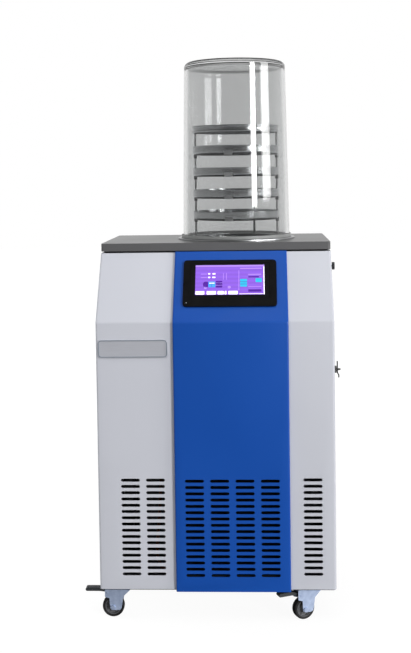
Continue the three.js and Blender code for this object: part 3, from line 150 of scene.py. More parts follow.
# A modifier's nodes: they weld a solid's facets and shade its shallow folds as round ones.
folds = bpy.data.node_groups.new(f"shading_by_angle_{SHALLOW}", "GeometryNodeTree")
for way in ("INPUT", "OUTPUT"):
    folds.interface.new_socket("Geometry", in_out=way, socket_type="NodeSocketGeometry")
source = put(folds, "NodeGroupInput").outputs["Geometry"]
bare = put(folds, "GeometryNodeRemoveAttribute", {"Geometry": source, "Name": "custom_normal"})
welded = put(folds, "GeometryNodeMergeByDistance", {"Geometry": bare.outputs["Geometry"], "Distance": 0.005 * MM})
bend = put(folds, "GeometryNodeInputMeshEdgeAngle").outputs["Unsigned Angle"]
shallow = put(folds, "FunctionNodeCompare", {"A": bend, "B": math.radians(SHALLOW)}, operation="LESS_EQUAL")
edges = put(folds, "GeometryNodeSetShadeSmooth", {
    "Geometry": welded.outputs["Geometry"], "Shade Smooth": shallow.outputs["Result"]}, domain="EDGE")
faces = put(folds, "GeometryNodeSetShadeSmooth", {"Geometry": edges.outputs["Geometry"]}, domain="FACE")
put(folds, "NodeGroupOutput", {"Geometry": faces.outputs["Geometry"]})


def soften(piece, radius):
    """Breaks a piece's sharp edges to a small radius, as pressing, moulding or deburring leaves them."""
    bevel = piece.modifiers.new("broken_edges", "BEVEL")
    bevel.width = radius * MM
    bevel.segments = 2
    bevel.limit_method = "ANGLE"
    bevel.angle_limit = math.radians(SHALLOW + 2)
    bevel.harden_normals = True
    bevel.miter_outer = "MITER_ARC"


def clad(node, material, edge=0.3):
    """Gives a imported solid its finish, its round folds and its broken edges."""
    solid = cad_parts[node]
    solid.material_slots[0].material = material
    solid.modifiers.new("folds", "NODES").node_group = folds
    if edge:
        soften(solid, edge)


def extent(node):
    """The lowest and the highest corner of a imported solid, in millimetres."""
    return [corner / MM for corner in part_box(node)]


# Black enamel dipped and baked on steel: glossy, a little wavy, with a film of dust in patches. On the
# tray, its black also stands in for the shade below the panels' edges: painted shade.
enamel = clouded_finish("black_enamel_and_painted_gap_shade", "0e0f10", "232426", (60, 6), 0.3, (14, 3), (0.2, 0.3),
                        {"Coat Weight": 0.3})
clad("base_tray", enamel, 0.4)

# ------------------------ casters
# Four swivel casters: zinc-plated pressed plates and forks, black rubber tyres on grey nylon
# wheels, and a glass-filled nylon brake pedal on each front one. Bolted up under the cabinet.


SUPPORT = 0.7  # how near an arc the flat part of a wall begins


def rounded(corners, steps=4):
    """An outline through corners given as (x, y, radius), each corner rounded to its radius.

    Each long straight run gets a point near either end, so that it is shaded flat."""
    outline = []
    for i, (x, y, radius) in enumerate(corners):
        here = Vector((x, y))
        to_last = (Vector(corners[i - 1][:2]) - here).normalized()
        to_next = (Vector(corners[(i + 1) % len(corners)][:2]) - here).normalized()
        half = to_last.angle(to_next, math.pi) / 2
        if radius == 0 or math.degrees(half) > 89.5:
            outline.append((x, y))
            continue
        middle = here + (to_last + to_next).normalized() * (radius / math.sin(half))
        start = here + to_last * (radius / math.tan(half)) - middle
        end = here + to_next * (radius / math.tan(half)) - middle
        turn = math.atan2(start.x * end.y - start.y * end.x, start.dot(end))
        for k in range(steps + 1):
            c, s = math.cos(turn * k / steps), math.sin(turn * k / steps)
            outline.append((middle.x + start.x * c - start.y * s, middle.y + start.x * s + start.y * c))
    held = outline[:1]
    for one, two in zip(outline, outline[1:]):
        run = Vector(two) - Vector(one)
        if run.length > 6 * SUPPORT:
            near = run.normalized() * SUPPORT
            held += [tuple(Vector(one) + near), tuple(Vector(two) - near)]
        held.append(two)
    return held


def show(name, points, faces, *materials):
    """A new piece from points in millimetres, its faces turned outwards and its shallow edges smooth."""
    mesh = bpy.data.meshes.new(name)
    mesh.from_pydata([Vector(p) * MM for p in points], [], faces)
    work = bmesh.new()
    work.from_mesh(mesh)
    bmesh.ops.recalc_face_normals(work, faces=work.faces)
    work.to_mesh(mesh)
    work.free()
    mesh.shade_smooth()
    mesh.set_sharp_from_angle(angle=math.radians(SHALLOW))
    piece = bpy.data.objects.new(name, mesh)
    bpy.context.scene.collection.objects.link(piece)
    for material in materials:
        mesh.materials.append(material)
    return piece


def settle(piece, slot, *nodes, body="cabinet"):
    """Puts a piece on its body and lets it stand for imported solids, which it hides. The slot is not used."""
    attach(piece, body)
    if nodes:
        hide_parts(*nodes)
    return piece


def turned(profile, steps=96, along="Z"):
    """Points and faces turned from a profile of (radius, height). Off the axis, it closes on itself."""
    points, rings = [], []
    for radius, height in profile:
        ring = []
        for i in range(steps if radius > 1e-6 else 1):
            a = 2 * math.pi * i / steps
            c, s = radius * math.cos(a), radius * math.sin(a)
            points.append({"X": (height, c, s), "Y": (s, height, c), "Z": (c, s, height)}[along])
            ring.append(len(points) - 1)
        rings.append(ring)
    faces = []
    closed = profile[0][0] > 1e-6 or profile[-1][0] > 1e-6
    for one, two in zip(rings, rings[1:] + (rings[:1] if closed else [])):
        for i in range(steps):
            j = (i + 1) % steps
            corners = [one[i % len(one)], one[j % len(one)], two[j % len(two)], two[i % len(two)]]
            face = list(dict.fromkeys(corners))
            if len(face) > 2:
                faces.append(face)
    return points, faces


def drawn(outline, start, end, along="Z"):
    """Points and faces of a closed outline pulled along an axis from start to end."""
    points = []
    for depth in (start, end):
        for u, v in outline:
            points.append({"X": (depth, u, v), "Y": (u, depth, v), "Z": (u, v, depth)}[along])
    n = len(outline)
    sides = [[i, (i + 1) % n, n + (i + 1) % n, n + i] for i in range(n)]
    return points, [list(range(n))[::-1], list(range(n, 2 * n)), *sides]


def bar(start, end, half):
    """The outline of a straight bar along the first axis."""
    return [(start, -half), (end, -half), (end, half), (start, half)]


def gather(*meshes):
    """Several meshes as one."""
    points, faces = [], []
    for more_points, more_faces in meshes:
        faces += [[i + len(points) for i in face] for face in more_faces]
        points += more_points
    return points, faces


def moved(mesh, offset=(0, 0, 0), turn=0.0, about="Z"):
    """A mesh turned about an axis through the origin, in degrees, and then shifted."""
    place = Matrix.Translation(Vector(offset)) @ Matrix.Rotation(math.radians(turn), 4, about)
    return [place @ Vector(p) for p in mesh[0]], mesh[1]


WHEEL, TREAD, SIDE, BEAD = 28.75, 10, 9.4, 8.4  # the tyre's radius, and half its width at three heights
RIM, RIM_HALF = 21.5, 8.8  # where the tyre meets the wheel, and half the wheel's width there
HUB_HALF, HUB, BORE = 12, 11, 4.4
WEB = 3.5  # half the thickness of the disc between hub and rim
SPOKES, SPOKE_HALF, SPOKE_REACH = 6, 1, 6.5
BOLT_SPACING, BOLT_HEAD, BOLT_HEIGHT, WASHER = 44, 5.5, 4, 6
PLATE = 3.3
PLATE_UNDER = extent("base_tray")[0].z - PLATE
RIDGES, RIDGE_PITCH, FIRST_RIDGE, RIDGE_HALF_LENGTH, RIDGE_HALF = 6, 5.5, -96, 7.5, 0.8


def glass_filled_nylon(name, low, high):
    """Glass-filled nylon: dark and silky, with pale flecks of fibre and a spark-eroded grain."""
    return clouded_finish(name, low, high, (2.2, 6, 0.7), 0.46, (0.7, 1), (0.25, 0.08))


# Bright zinc with a blue passivation: a cool, slightly cloudy shine over the marks of the press.
zinc = clouded_finish("zinc_plated_steel_passivated", "8e9fc0", "c6d3ea", (11, 4), (0.44, 0.62), (1.5, 2),
                      (0.12, 0.1), {"Metallic": 0.5})
# Moulded black rubber: nearly matt, finely grained, with floor dust in its hollows.
rubber = clouded_finish("black_rubber_moulded", "0c0c0d", "232222", (7, 5), 0.62, (0.8, 2), (0.3, 0.15),
                        {"Specular IOR Level": 0.3})
wheel_nylon = glass_filled_nylon("grey_nylon_moulded", "46474a", "66676a")
pedal_nylon = glass_filled_nylon("charcoal_nylon_moulded", "26282a", "3c3f42")

tyre_profile = rounded([
    (RIM, -BEAD, 0), (RIM + 3, -SIDE, 1.5), (WHEEL - 0.4, -TREAD, 3.2), (WHEEL, 0, 0), (WHEEL - 0.4, TREAD, 3.2),
    (RIM + 3, SIDE, 1.5), (RIM, BEAD, 0),
])
wheel_half = [
    (RIM, RIM_HALF, 0.3), (RIM - 2, RIM_HALF, 0.5), (RIM - 3, WEB, 1.5), (HUB - 1, 4, 1.5),
    (HUB - 3.5, HUB_HALF, 0.8), (BORE, HUB_HALF, 0),
]
wheel_profile = rounded([(r, -y, radius) for r, y, radius in reversed(wheel_half)] + wheel_half)
spoke = drawn(bar(HUB - 2, RIM - 2.5, SPOKE_HALF), -SPOKE_REACH, SPOKE_REACH)
spokes = gather(*[moved(spoke, turn=i * 360 / SPOKES) for i in range(SPOKES)])
wheel_body = gather(turned(wheel_profile, 64, "Y"), moved(spokes, turn=90, about="X"))
tyre_body = turned(tyre_profile, 96, "Y")

SEAT = PLATE_UNDER - 1  # a washer is 1 mm thick
washer = turned([(0, SEAT), (WASHER, SEAT), (WASHER, PLATE_UNDER), (0, PLATE_UNDER)], 24)
hexagon = [(BOLT_HEAD * math.cos(math.radians(60 * i)), BOLT_HEAD * math.sin(math.radians(60 * i)))
           for i in range(6)]
bolt = gather(washer, drawn(hexagon, SEAT - BOLT_HEIGHT, SEAT))
four_bolts = gather(*[moved(bolt, (sx * BOLT_SPACING / 2, sy * BOLT_SPACING / 2, 0))
                      for sx, sy in ((1, 1), (-1, 1), (-1, -1), (1, -1))])

for corner in ("front_left", "front_right", "rear_left", "rear_right"):
    king = sum(extent(f"caster_plate_{corner}"), Vector()) / 2
    hub = sum(extent(f"caster_wheel_{corner}"), Vector()) / 2
    heading = math.degrees(math.atan2(king.y - hub.y, king.x - hub.x))
    clad(f"caster_plate_{corner}", zinc, 0.4)
    clad(f"caster_fork_{corner}", zinc, 0.5)

    tyre = show(f"tyre_{corner}", *moved(tyre_body, hub, heading), rubber)
    settle(tyre, "caster_rubber", f"caster_wheel_{corner}", body=f"wheel_{corner}")
    wheel = show(f"wheel_{corner}", *moved(wheel_body, hub, heading), wheel_nylon)
    settle(wheel, "caster_rubber", body=f"wheel_{corner}")

    bolts = show(f"caster_bolts_{corner}", *moved(four_bolts, (king.x, king.y, 0)), zinc)
    soften(bolts, 0.3)
    settle(bolts, "zinc_plate")

    if corner.startswith("front"):
        clad(f"brake_pedal_{corner}", pedal_nylon, 0.6)
        shoe_top = extent(f"brake_pedal_{corner}")[1].z
        ridge = rounded([(*point, 0.7) for point in bar(-RIDGE_HALF_LENGTH, RIDGE_HALF_LENGTH, RIDGE_HALF)])
        strips = [moved(drawn(ridge, shoe_top - 0.5, shoe_top + 0.7), (FIRST_RIDGE + i * RIDGE_PITCH, 0, 0), 90)
                  for i in range(RIDGES)]
        grip = show(f"pedal_grip_{corner}", *moved(gather(*strips), (king.x, king.y, 0), heading), pedal_nylon)
        settle(grip, "dark_nylon", body=f"pedal_{corner}")

# ------------------------ refrigeration
# A hermetic compressor in black stove enamel, a finned condenser with its fan and shroud, a
# copper filter drier and brazed copper pipes. All of it stands on or above the chassis tray.


def bare_metal(name, low, high, roughness, cloud, grain, relief):
    """A bare or lightly oxidised metal: two close tones in clouds, uneven gloss and a fine grain."""
    return clouded_finish(name, low, high, (cloud, 5), roughness, (grain, 2), (relief, 0.1), {"Metallic": 1.0})


# Zinc spangle: crystals some 9 mm across, each a little lighter or duller than the next.
zinc_spangle, tree, place = blank("galvanised_steel_spangled")
spangle = put(tree, "ShaderNodeTexVoronoi", {"Vector": place, "Scale": per(9)})
grain = put(tree, "ShaderNodeTexNoise", {"Vector": place, "Scale": per(2), "Detail": 3.0})
share = put(tree, "ShaderNodeSeparateColor", {"Color": spangle.outputs["Color"]}).outputs["Red"]
two_tone(tree, share, "8e8f8c", "b0b1ad", (0.34, 0.52), (0.15, 0.2), grain.outputs["Fac"], {"Metallic": 1.0})
# Drawn copper: brown where the air has dulled it, with redder patches near the brazed ends.
copper = bare_metal("copper_tube_oxidised", "4a3022", "74492f", (0.4, 0.58), 24, 1.2, 0.1)
# Rolled aluminium: pale, with a soft silky shine.
blade_aluminium = bare_metal("aluminium_fan_sheet", "9fa2a4", "c0c2c4", (0.3, 0.42), 30, 1.0, 0.08)
# Aluminium fins coloured near-black, dark and silky: painted shade, standing in for the shade inside the cabinet, so
# that the slots look black.
fins_black_painted_shade = clouded_finish("aluminium_fins_black_painted_shade", "0d0e0f", "1b1c1e", (2.2, 6, 0.7), 0.46, (0.7, 1),
                             (0.25, 0.08))
for node in ("compressor", "fan_motor"):
    clad(node, enamel, 0.8)
clad("fan_shroud", zinc_spangle, 0.3)
clad("fan_blade", blade_aluminium, 0.3)
for node in ("filter_drier", "discharge_pipe", "liquid_pipe", "suction_pipe", "evaporator_coil"):
    clad(node, copper, 0)

FIN_PITCH, FIN, FIN_WAVE, TUBE_ROWS = 3.2, 0.4, 3.6, 8
TUBE, STUB, HEADER, TUBE_IN, ROW_IN = 4.8, 6, 12, 11, 30
block_low, block_high = extent("condenser")
block_middle = (block_low.y + block_high.y) / 2
fins_left = block_low.x + HEADER
fins = []
for i in range(int((block_high.x - fins_left - FIN_WAVE) / FIN_PITCH)):
    x = fins_left + i * FIN_PITCH
    outline = [(x, block_low.y), (x + FIN_WAVE, block_middle), (x, block_high.y), (x + FIN, block_high.y),
               (x + FIN_WAVE + FIN, block_middle), (x + FIN, block_low.y)]
    fins.append(drawn(outline, block_low.z, block_high.z))


def copper_rod(radius, start, end, steps, y, z):
    """A straight run of tube along the condenser."""
    return moved(turned([(0, start), (radius, start), (radius, end), (0, end)], steps, "X"), (0, y, z))


row_step = (block_high.z - block_low.z - 2 * ROW_IN) / (TUBE_ROWS - 1)
tubes = [copper_rod(TUBE, fins_left - 3, block_high.x, 16, y, block_low.z + ROW_IN + row * row_step)
         for row in range(TUBE_ROWS) for y in (block_low.y + TUBE_IN, block_high.y - TUBE_IN)]
tubes += [copper_rod(STUB, block_low.x, fins_left + 4, 20, block_middle, z)
          for z in (block_low.z + ROW_IN, block_high.z - ROW_IN)]
fin_pack = show("condenser_fins", *gather(*fins), fins_black_painted_shade)
settle(fin_pack, "aluminium_sheet", "condenser")
condenser_tubes = show("condenser_tubes", *gather(*tubes), copper)
settle(condenser_tubes, "copper_tube")

# ------------------------ control box
# A galvanised box with a shallow lid on the left wall. It holds the controller and its terminals,
# and its cables leave by three glands underneath.

clad("control_box", zinc_spangle, 0.5)

# ------------------------ grey casing panels
# Folded sheet steel in a light grey polyester powder coat: two sides, the back, and the two
# front panels with their rows of slots. The back is held by button-head screws.


def powder_coat(name, low, high, roughness):
    """Polyester powder baked on sheet: an even colour, and a fine orange peel that breaks its gloss."""
    # The real peel is about 0.6 mm; it is drawn four times as coarse, so that it shows.
    return clouded_finish(name, low, high, (190, 4), (roughness - 0.04, roughness + 0.05), (2.4, 2), (0.1, 0.12),
                          {"Specular IOR Level": 0.25})


def bored(piece, *cutters):
    """Cuts holes through a piece with other meshes."""
    for points, faces in cutters:
        tool = show("bore", points, faces)
        hole = piece.modifiers.new("bore", "BOOLEAN")
        hole.object = tool
        hole.solver = "EXACT"
        made = bpy.data.meshes.new_from_object(piece.evaluated_get(bpy.context.evaluated_depsgraph_get()))
        piece.modifiers.clear()
        piece.data = made
        bpy.data.objects.remove(tool)
    piece.data.shade_smooth()
    piece.data.set_sharp_from_angle(angle=math.radians(SHALLOW))


def slot_outlines(length, height, columns, lowest, rows, pitch, steps=12):
    """The outlines of rows and columns of round-ended slots."""
    radius = height / 2
    outlines = []
    for x, row in ((x, row) for x in columns for row in range(rows)):
        z = lowest + row * pitch
        outline = []
        for side, k in ((side, k) for side in (1, -1) for k in range(steps + 1)):
            a = math.radians(-90 + 180 * k / steps)
            outline.append((x + side * (length / 2 - radius + radius * math.cos(a)), z + side * radius * math.sin(a)))
        outlines.append(outline)
    return outlines


PUNCH = 4  # how deep the slots are cut in from the face


def slotted(node, name, material, edge, outlines):
    """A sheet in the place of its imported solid, its slots opened out to full rounds."""
    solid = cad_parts[node]
    welded, faces = {}, []
    for face in solid.data.polygons:
        corners = [solid.matrix_world @ solid.data.vertices[i].co / MM for i in face.vertices]
        faces.append([welded.setdefault(tuple(round(c, 3) for c in corner), len(welded)) for corner in corners])
    sheet = show(name, list(welded), faces, material)
    work = bmesh.new()
    work.from_mesh(sheet.data)
    bmesh.ops.dissolve_limit(work, angle_limit=math.radians(0.3), verts=work.verts, edges=work.edges)
    work.to_mesh(sheet.data)
    work.free()
    low, high = extent(node)
    start, end = (high.y - PUNCH, high.y + 2) if node == "back_panel" else (low.y - 2, low.y + PUNCH)
    bored(sheet, gather(*[drawn(outline, start, end, "Y") for outline in outlines]))
    soften(sheet, edge)
    return sheet


FRONT_SLOT, FRONT_ROWS = (48.56, 8.06), (132.5, 16, 16.35)  # length and height; lowest row, rows and pitch
REAR_SLOT, REAR_ROWS = (120.06, 9.06), (190, 6, 26)
EDGE_TO_SLOT, COLUMN_PITCH, REAR_COLUMNS = 50.4, 64.6, (-165, 0)

# Fine-grained pale grey: it shows soft light evenly, with no sharp reflections.
grey_paint = powder_coat("light_grey_powder_coat", "babcc4", "c0c2ca", 0.42)
for node in ("left_side_panel", "right_side_panel"):
    clad(node, grey_paint, 0.35)
blue_low, blue_high = extent("front_center_panel")
left_columns = [blue_low.x - EDGE_TO_SLOT, blue_low.x - EDGE_TO_SLOT - COLUMN_PITCH]
right_column = (blue_high.x + extent("front_right_panel")[1].x) / 2
for node, name, outlines in (
        ("front_left_panel", "left_front_sheet", slot_outlines(*FRONT_SLOT, left_columns, *FRONT_ROWS)),
        ("front_right_panel", "right_front_sheet", slot_outlines(*FRONT_SLOT, [right_column], *FRONT_ROWS)),
        ("back_panel", "back_sheet", slot_outlines(*REAR_SLOT, REAR_COLUMNS, *REAR_ROWS))):
    settle(slotted(node, name, grey_paint, 0.35, outlines), "grey_powder_coat", node)

SCREW, SCREW_HEIGHT, SOCKET, SCREW_EDGE, SCREW_ROWS = 3.8, 2.1, 1.5, 10, 5
# A button head with a round socket, its seat at height 0.
button_head = turned(rounded([
    (0, 0.8, 0), (SOCKET, 0.9, 0), (SOCKET, SCREW_HEIGHT, 0.2), (SCREW * 0.62, SCREW_HEIGHT, 0.8),
    (SCREW, 0.7, 0.5), (SCREW, 0, 0), (0, 0, 0),
], 3)[:-1] + [(0, 0)], 24, "Y")
# Bright rolled stainless: a small sharp glint on each head.
steel_screw = bare_metal("stainless_screw_bright", "9fa1a3", "c9cbcd", (0.2, 0.34), 4, 0.8, 0.1)
back_low, back_high = extent("back_panel")
lowest, highest = back_low.z + SCREW_EDGE + 8, back_high.z - SCREW_EDGE - 8
places = [(x, lowest + i * (highest - lowest) / (SCREW_ROWS - 1))
          for x in (back_low.x + SCREW_EDGE, back_high.x - SCREW_EDGE) for i in range(SCREW_ROWS)]
places += [(0, back_low.z + SCREW_EDGE), (0, back_high.z - SCREW_EDGE)]
screws = gather(*[moved(button_head, (x, back_high.y, z)) for x, z in places])
settle(show("back_panel_screws", *screws, steel_screw), "stainless_steel")

# ------------------------ cold trap
# A deep stainless pot that the ice forms in, with a flat ring welded round its mouth. Copper tube
# is wound on it under a cup of black foam.

CHAMBER_STEPS = 160
trap_low, trap_high = extent("cold_trap")
AXIS = Vector(((trap_low.x + trap_high.x) / 2, (trap_low.y + trap_high.y) / 2, 0))
RING_OUTER, RING_THICK = (trap_high.x - trap_low.x) / 2, 4
POT_INNER, POT_OUTER, POT_ROUND, DRAIN_HOLE = 115, 117, 18, 5
PORT_BORE, PORT_REACH = 12, 60


def spun_steel(name, low, high, roughness, line, strength):
    """Stainless turned or polished on a lathe: fine rings about the axis that stretch each highlight."""
    material, tree, place = blank(name)
    from_axis = put(tree, "ShaderNodeVectorMath", {0: place, 1: AXIS * MM}, operation="SUBTRACT").outputs["Vector"]
    parts = put(tree, "ShaderNodeSeparateXYZ", {"Vector": from_axis})
    flat = put(tree, "ShaderNodeCombineXYZ", {"X": parts.outputs["X"], "Y": parts.outputs["Y"]})
    radius = put(tree, "ShaderNodeVectorMath", {0: flat.outputs["Vector"]}, operation="LENGTH").outputs["Value"]
    rings_at = put(tree, "ShaderNodeCombineXYZ", {"X": radius, "Z": parts.outputs["Z"]}).outputs["Vector"]
    lines = put(tree, "ShaderNodeTexNoise", {"Vector": rings_at, "Scale": per(line), "Detail": 3.0}).outputs["Fac"]
    cloud = put(tree, "ShaderNodeTexNoise", {"Vector": place, "Scale": per(45), "Detail": 4.0}).outputs["Fac"]
    two_tone(tree, lines, low, high, (roughness - 0.05, roughness + 0.07), (strength, 0.1), lines,
             {"Metallic": 1.0}, gloss=cloud)
    return material


ring_steel = spun_steel("stainless_ring_turned", "9b9d9f", "c6c7c8", 0.3, 1.6, 0.12)
pot_profile = rounded([
    (DRAIN_HOLE, trap_low.z, 0), (POT_OUTER, trap_low.z, POT_ROUND), (POT_OUTER, trap_high.z - RING_THICK, 0),
    (RING_OUTER, trap_high.z - RING_THICK, 0.4), (RING_OUTER, trap_high.z, 1.2), (POT_INNER, trap_high.z, 1.5),
    (POT_INNER, trap_low.z + 2, POT_ROUND - 2), (DRAIN_HOLE, trap_low.z + 2, 0),
], 8)
pot = show("cold_trap_pot", *moved(turned(pot_profile, CHAMBER_STEPS), AXIS), ring_steel)
port_low, port_high = extent("vacuum_port")
port_middle = (port_low + port_high) / 2
port_bore = turned([(0, 0), (PORT_BORE, 0), (PORT_BORE, PORT_REACH), (0, PORT_REACH)], 32, "Y")
bored(pot, moved(port_bore, (AXIS.x, AXIS.y + 90, port_middle.z)))
settle(pot, "stainless_steel", "cold_trap")


# Black closed-cell foam: matt, and pitted where its cells were cut open. On the frame under the cover,
# its black also stands in for the shade of the gap: painted shade.
foam, tree, place = blank("black_foam_and_painted_gap_shade")
cells = put(tree, "ShaderNodeTexVoronoi", {"Vector": place, "Scale": per(1.8)}).outputs["Distance"]
two_tone(tree, cells, "0b0b0c", "1e1f21", 0.9, (0.6, 0.5), cells)
clad("trap_insulation", foam, 0)

# ------------------------ blue front panel
# The panel that carries the screen: a shallow pan of sheet steel, folded once where it leans back,
# with four columns of slots and a glossier blue powder coat.

blue_paint = powder_coat("blue_powder_coat", "10469b", "144ba1", 0.36)
blue_middle = (blue_low.x + blue_high.x) / 2
blue_columns = [blue_middle + k * COLUMN_PITCH for k in (-1.5, -0.5, 0.5, 1.5)]
blue_slots = slot_outlines(*FRONT_SLOT, blue_columns, *FRONT_ROWS)
blue_sheet = slotted("front_center_panel", "blue_front_sheet", blue_paint, 0.5, blue_slots)
settle(blue_sheet, "blue_powder_coat", "front_center_panel")

# ------------------------ dark frame and top cover
# The cover is a pan of sheet steel in a darker satin grey. It stands on a frame faced with black foam, set
# back under its edge; the frame's black is painted shade, standing in for the shadow line under the cover.

cover_paint = powder_coat("dark_grey_powder_coat_satin", "565657", "5e5e5f", 0.3)
# The frame's black is painted shade: it stands in for the shade in the gap under the cover's edge.
clad("cover_subframe", foam, 0.3)
clad("top_cover", cover_paint, 0.7)

# ------------------------ control screen
# A moulded black bezel with a glass touch panel sunk in it. The lit picture is a plain operating
# page: two drawn vessels, a few value bars and a row of keys, and no words.


# Black ABS from a polished mould: a deep, fairly sharp gloss with a trace of flow in it.
black_abs = clouded_finish("black_abs_moulded", "0b0b0c", "161617", (35, 3), 0.22, (0.9, 1), (0.12, 0.06),
                           {"Specular IOR Level": 0.17})
# Black-backed cover glass: almost a mirror, with the faint haze that fingers leave.
touch_glass = clouded_finish("touch_glass_black_backed", "0a0a0c", "111114", (22, 4), (0.05, 0.16))


def lit_field(name, colour, glow):
    """A field of the lit picture: its own colour, crossed by the faint bands of the light behind it."""
    material, tree, place = blank(name)
    # A wave's band is 0.314 of the size that its scale gives: 32 makes bands 10 mm high.
    bands = put(tree, "ShaderNodeTexWave", {"Vector": place, "Scale": per(32)}, bands_direction="Z")
    tone = put(tree, "ShaderNodeMixRGB", {
        "Fac": bands.outputs["Fac"], "Color1": linear(colour), "Color2": tuple(c * 0.9 for c in linear(colour))})
    shader = put(tree, "ShaderNodeBsdfPrincipled", {
        "Base Color": tone.outputs["Color"], "Roughness": 0.12, "Emission Color": tone.outputs["Color"],
        "Emission Strength": glow})
    put(tree, "ShaderNodeOutputMaterial", {"Surface": shader.outputs["BSDF"]})
    return material


BEND, LEAN_BACK, LEAN_RISE = 785.5, 120, 169  # the fold's height, and how the face leans back over its rise
lean = math.atan2(LEAN_BACK, LEAN_RISE)
glass_low, glass_high = extent("touch_display")
GLASS_MIDDLE, GLASS_OUT = 121, 5.6  # up the lean from the fold, and out to the glass's face
PICTURE_WIDTH, PICTURE_HEIGHT = 179, 88


def on_the_lean(mesh, x, up, out):
    """Places a mesh drawn flat (across, up, out of the face) on the leaning face."""
    points = []
    for p in mesh[0]:
        s, t, n = x + p[0], up + p[1], out + p[2]
        points.append((s, blue_low.y + t * math.sin(lean) - n * math.cos(lean),
                       BEND + t * math.cos(lean) + n * math.sin(lean)))
    return points, mesh[1]


clad("screen_bezel", black_abs, 0.8)
clad("touch_display", touch_glass, 0.2)

lit = {tone: lit_field(f"picture_{name}", colour, glow) for tone, name, colour, glow in (
    ("ground", "violet", "7a52c0", 0.55), ("shade", "deep_violet", "4a1f8a", 0.5), ("haze", "lilac", "9d7ad6", 0.6),
    ("sky", "sky_blue", "3f8fe0", 0.6), ("sea", "cyan", "2aa3c8", 0.55), ("white", "white", "e9e4f6", 0.75))}


def field(x, z, width, height, radius=0.0):
    """A round-cornered field of the picture, by its lower left corner, as an outline."""
    return rounded([(x, z, radius), (x + width, z, radius), (x + width, z + height, radius),
                    (x, z + height, radius)], 3)


# Each entry is a colour, a layer and a field, in millimetres from the picture's lower left corner.
picture = [
    ("ground", 0, 0, 0, PICTURE_WIDTH, PICTURE_HEIGHT), ("haze", 1, 0, PICTURE_HEIGHT - 5, PICTURE_WIDTH, 5),
    ("white", 1, PICTURE_WIDTH - 2.4, 0, 2.4, PICTURE_HEIGHT), ("haze", 1, 112, 12, 1.6, 60),
    ("white", 1, 114, 1.5, 62, 1.4), ("shade", 1, 20, 22, 16, 17, 7), ("haze", 1, 23, 17, 7, 9, 3),
    ("shade", 1, 53, 21, 17, 20, 2), ("haze", 1, 53, 34, 17, 2.2), ("haze", 1, 53, 27, 17, 2.2),
    ("sky", 2, 34, 22, 18, 17, 2), ("white", 3, 36, 33, 14, 2.4, 1), ("shade", 3, 42.2, 23.5, 1.2, 9),
    ("haze", 1, 84, 18, 8, 8, 3.5), ("sea", 1, 116, 23, 18, 23, 1), ("shade", 2, 116, 30, 18, 1),
    ("shade", 2, 116, 38, 18, 1), ("shade", 1, 137, 50, 28, 4, 1), ("sea", 1, 156, 36, 16, 12, 1),
    ("haze", 1, 137, 58, 34, 3), ("haze", 1, 137, 22, 34, 2), ("shade", 1, 137, 8, 34, 7, 1),
    ("haze", 1, 116, 76, 56, 3),
]
picture += [("white", 1, x, 1, width, 10, 1.5) for x, width in ((1, 23), (30, 24), (58, 16), (76, 5), (86, 24))]
for z in (60, 49.5):
    picture += [("haze", 1, 14, z + 0.5, 16, 2), ("white", 1, 33, z, 5.5, 4, 1), ("white", 1, 44, z, 8, 4, 1)]
picture += [("haze", 1, x, 44, 1.4, 20) for x in (72, 80)]

LAYER = 0.04
for colour in lit:
    shapes = [drawn(field(*place), 0, LAYER * (layer + 1)) for tone, layer, *place in picture if tone == colour]
    x = (glass_low.x + glass_high.x - PICTURE_WIDTH) / 2
    up = GLASS_MIDDLE - PICTURE_HEIGHT / 2
    fields = show(f"picture_{colour}", *on_the_lean(gather(*shapes), x, up, GLASS_OUT), lit[colour])
    settle(fields, "screen_glass")

# A small light sensor under a milky lens near the bezel's lower left corner. Its faint glow is painted light; the lens
# gives none of its own.
LENS_X, LENS_UP = 9.5, 10
bezel_low = extent("screen_bezel")[0]
bezel_foot = (bezel_low.z - BEND) / math.cos(lean)
lens = turned(rounded([(0, -1, 0), (2.4, -1, 0), (2.4, 0.5, 0.4), (0, 0.9, 0)]), 24)
sensor = show("screen_sensor_lens", *on_the_lean(lens, bezel_low.x + LENS_X, bezel_foot + LENS_UP, GLASS_OUT),
              lit_field("lens_milky_painted_glow", "b9bcc4", 0.05))
settle(sensor, "screen_glass")

# ------------------------ badge plate
# A thin anodised plate with a raised rim, stuck on the left grey panel. Its field is bare.

# Brushed and anodised aluminium: straight brush lines along the plate under a soft shine. The real
# lines are 0.1 mm apart and some 40 mm long; they are drawn 0.7 mm apart, so that they show.
badge_aluminium, tree, place = blank("anodised_aluminium_brushed")
along = put(tree, "ShaderNodeMapping", {"Vector": place, "Scale": (per(40), per(0.7), per(0.7))})
brush = put(tree, "ShaderNodeTexNoise", {
    "Vector": along.outputs["Vector"], "Scale": 1.0, "Detail": 3.0}).outputs["Fac"]
two_tone(tree, brush, "bcbec6", "d4d6de", (0.34, 0.5), (0.12, 0.08), brush, {"Metallic": 0.5})
# The plate's rim is the same metal dyed a darker blue-grey, with fine dull specks in the dye.
dyed_rim = clouded_finish("anodised_aluminium_dyed", "7d8793", "939dab", (2.5, 4), (0.36, 0.52),
                          sockets={"Metallic": 0.4})
clad("badge_plate", badge_aluminium, 0.3)
badge_low, badge_high = extent("badge_plate")
RIM_IN, RIM_WIDTH, RIM_PROUD, BADGE_CORNER = 0.9, 1.9, 0.25, 9


def plate_outline(inset):
    """The plate's outline, drawn flat, a given distance in from its edge."""
    x, z = badge_low.x + inset, badge_low.z + inset
    width, height = badge_high.x - badge_low.x - 2 * inset, badge_high.z - badge_low.z - 2 * inset
    return field(x, z, width, height, BADGE_CORNER - inset)


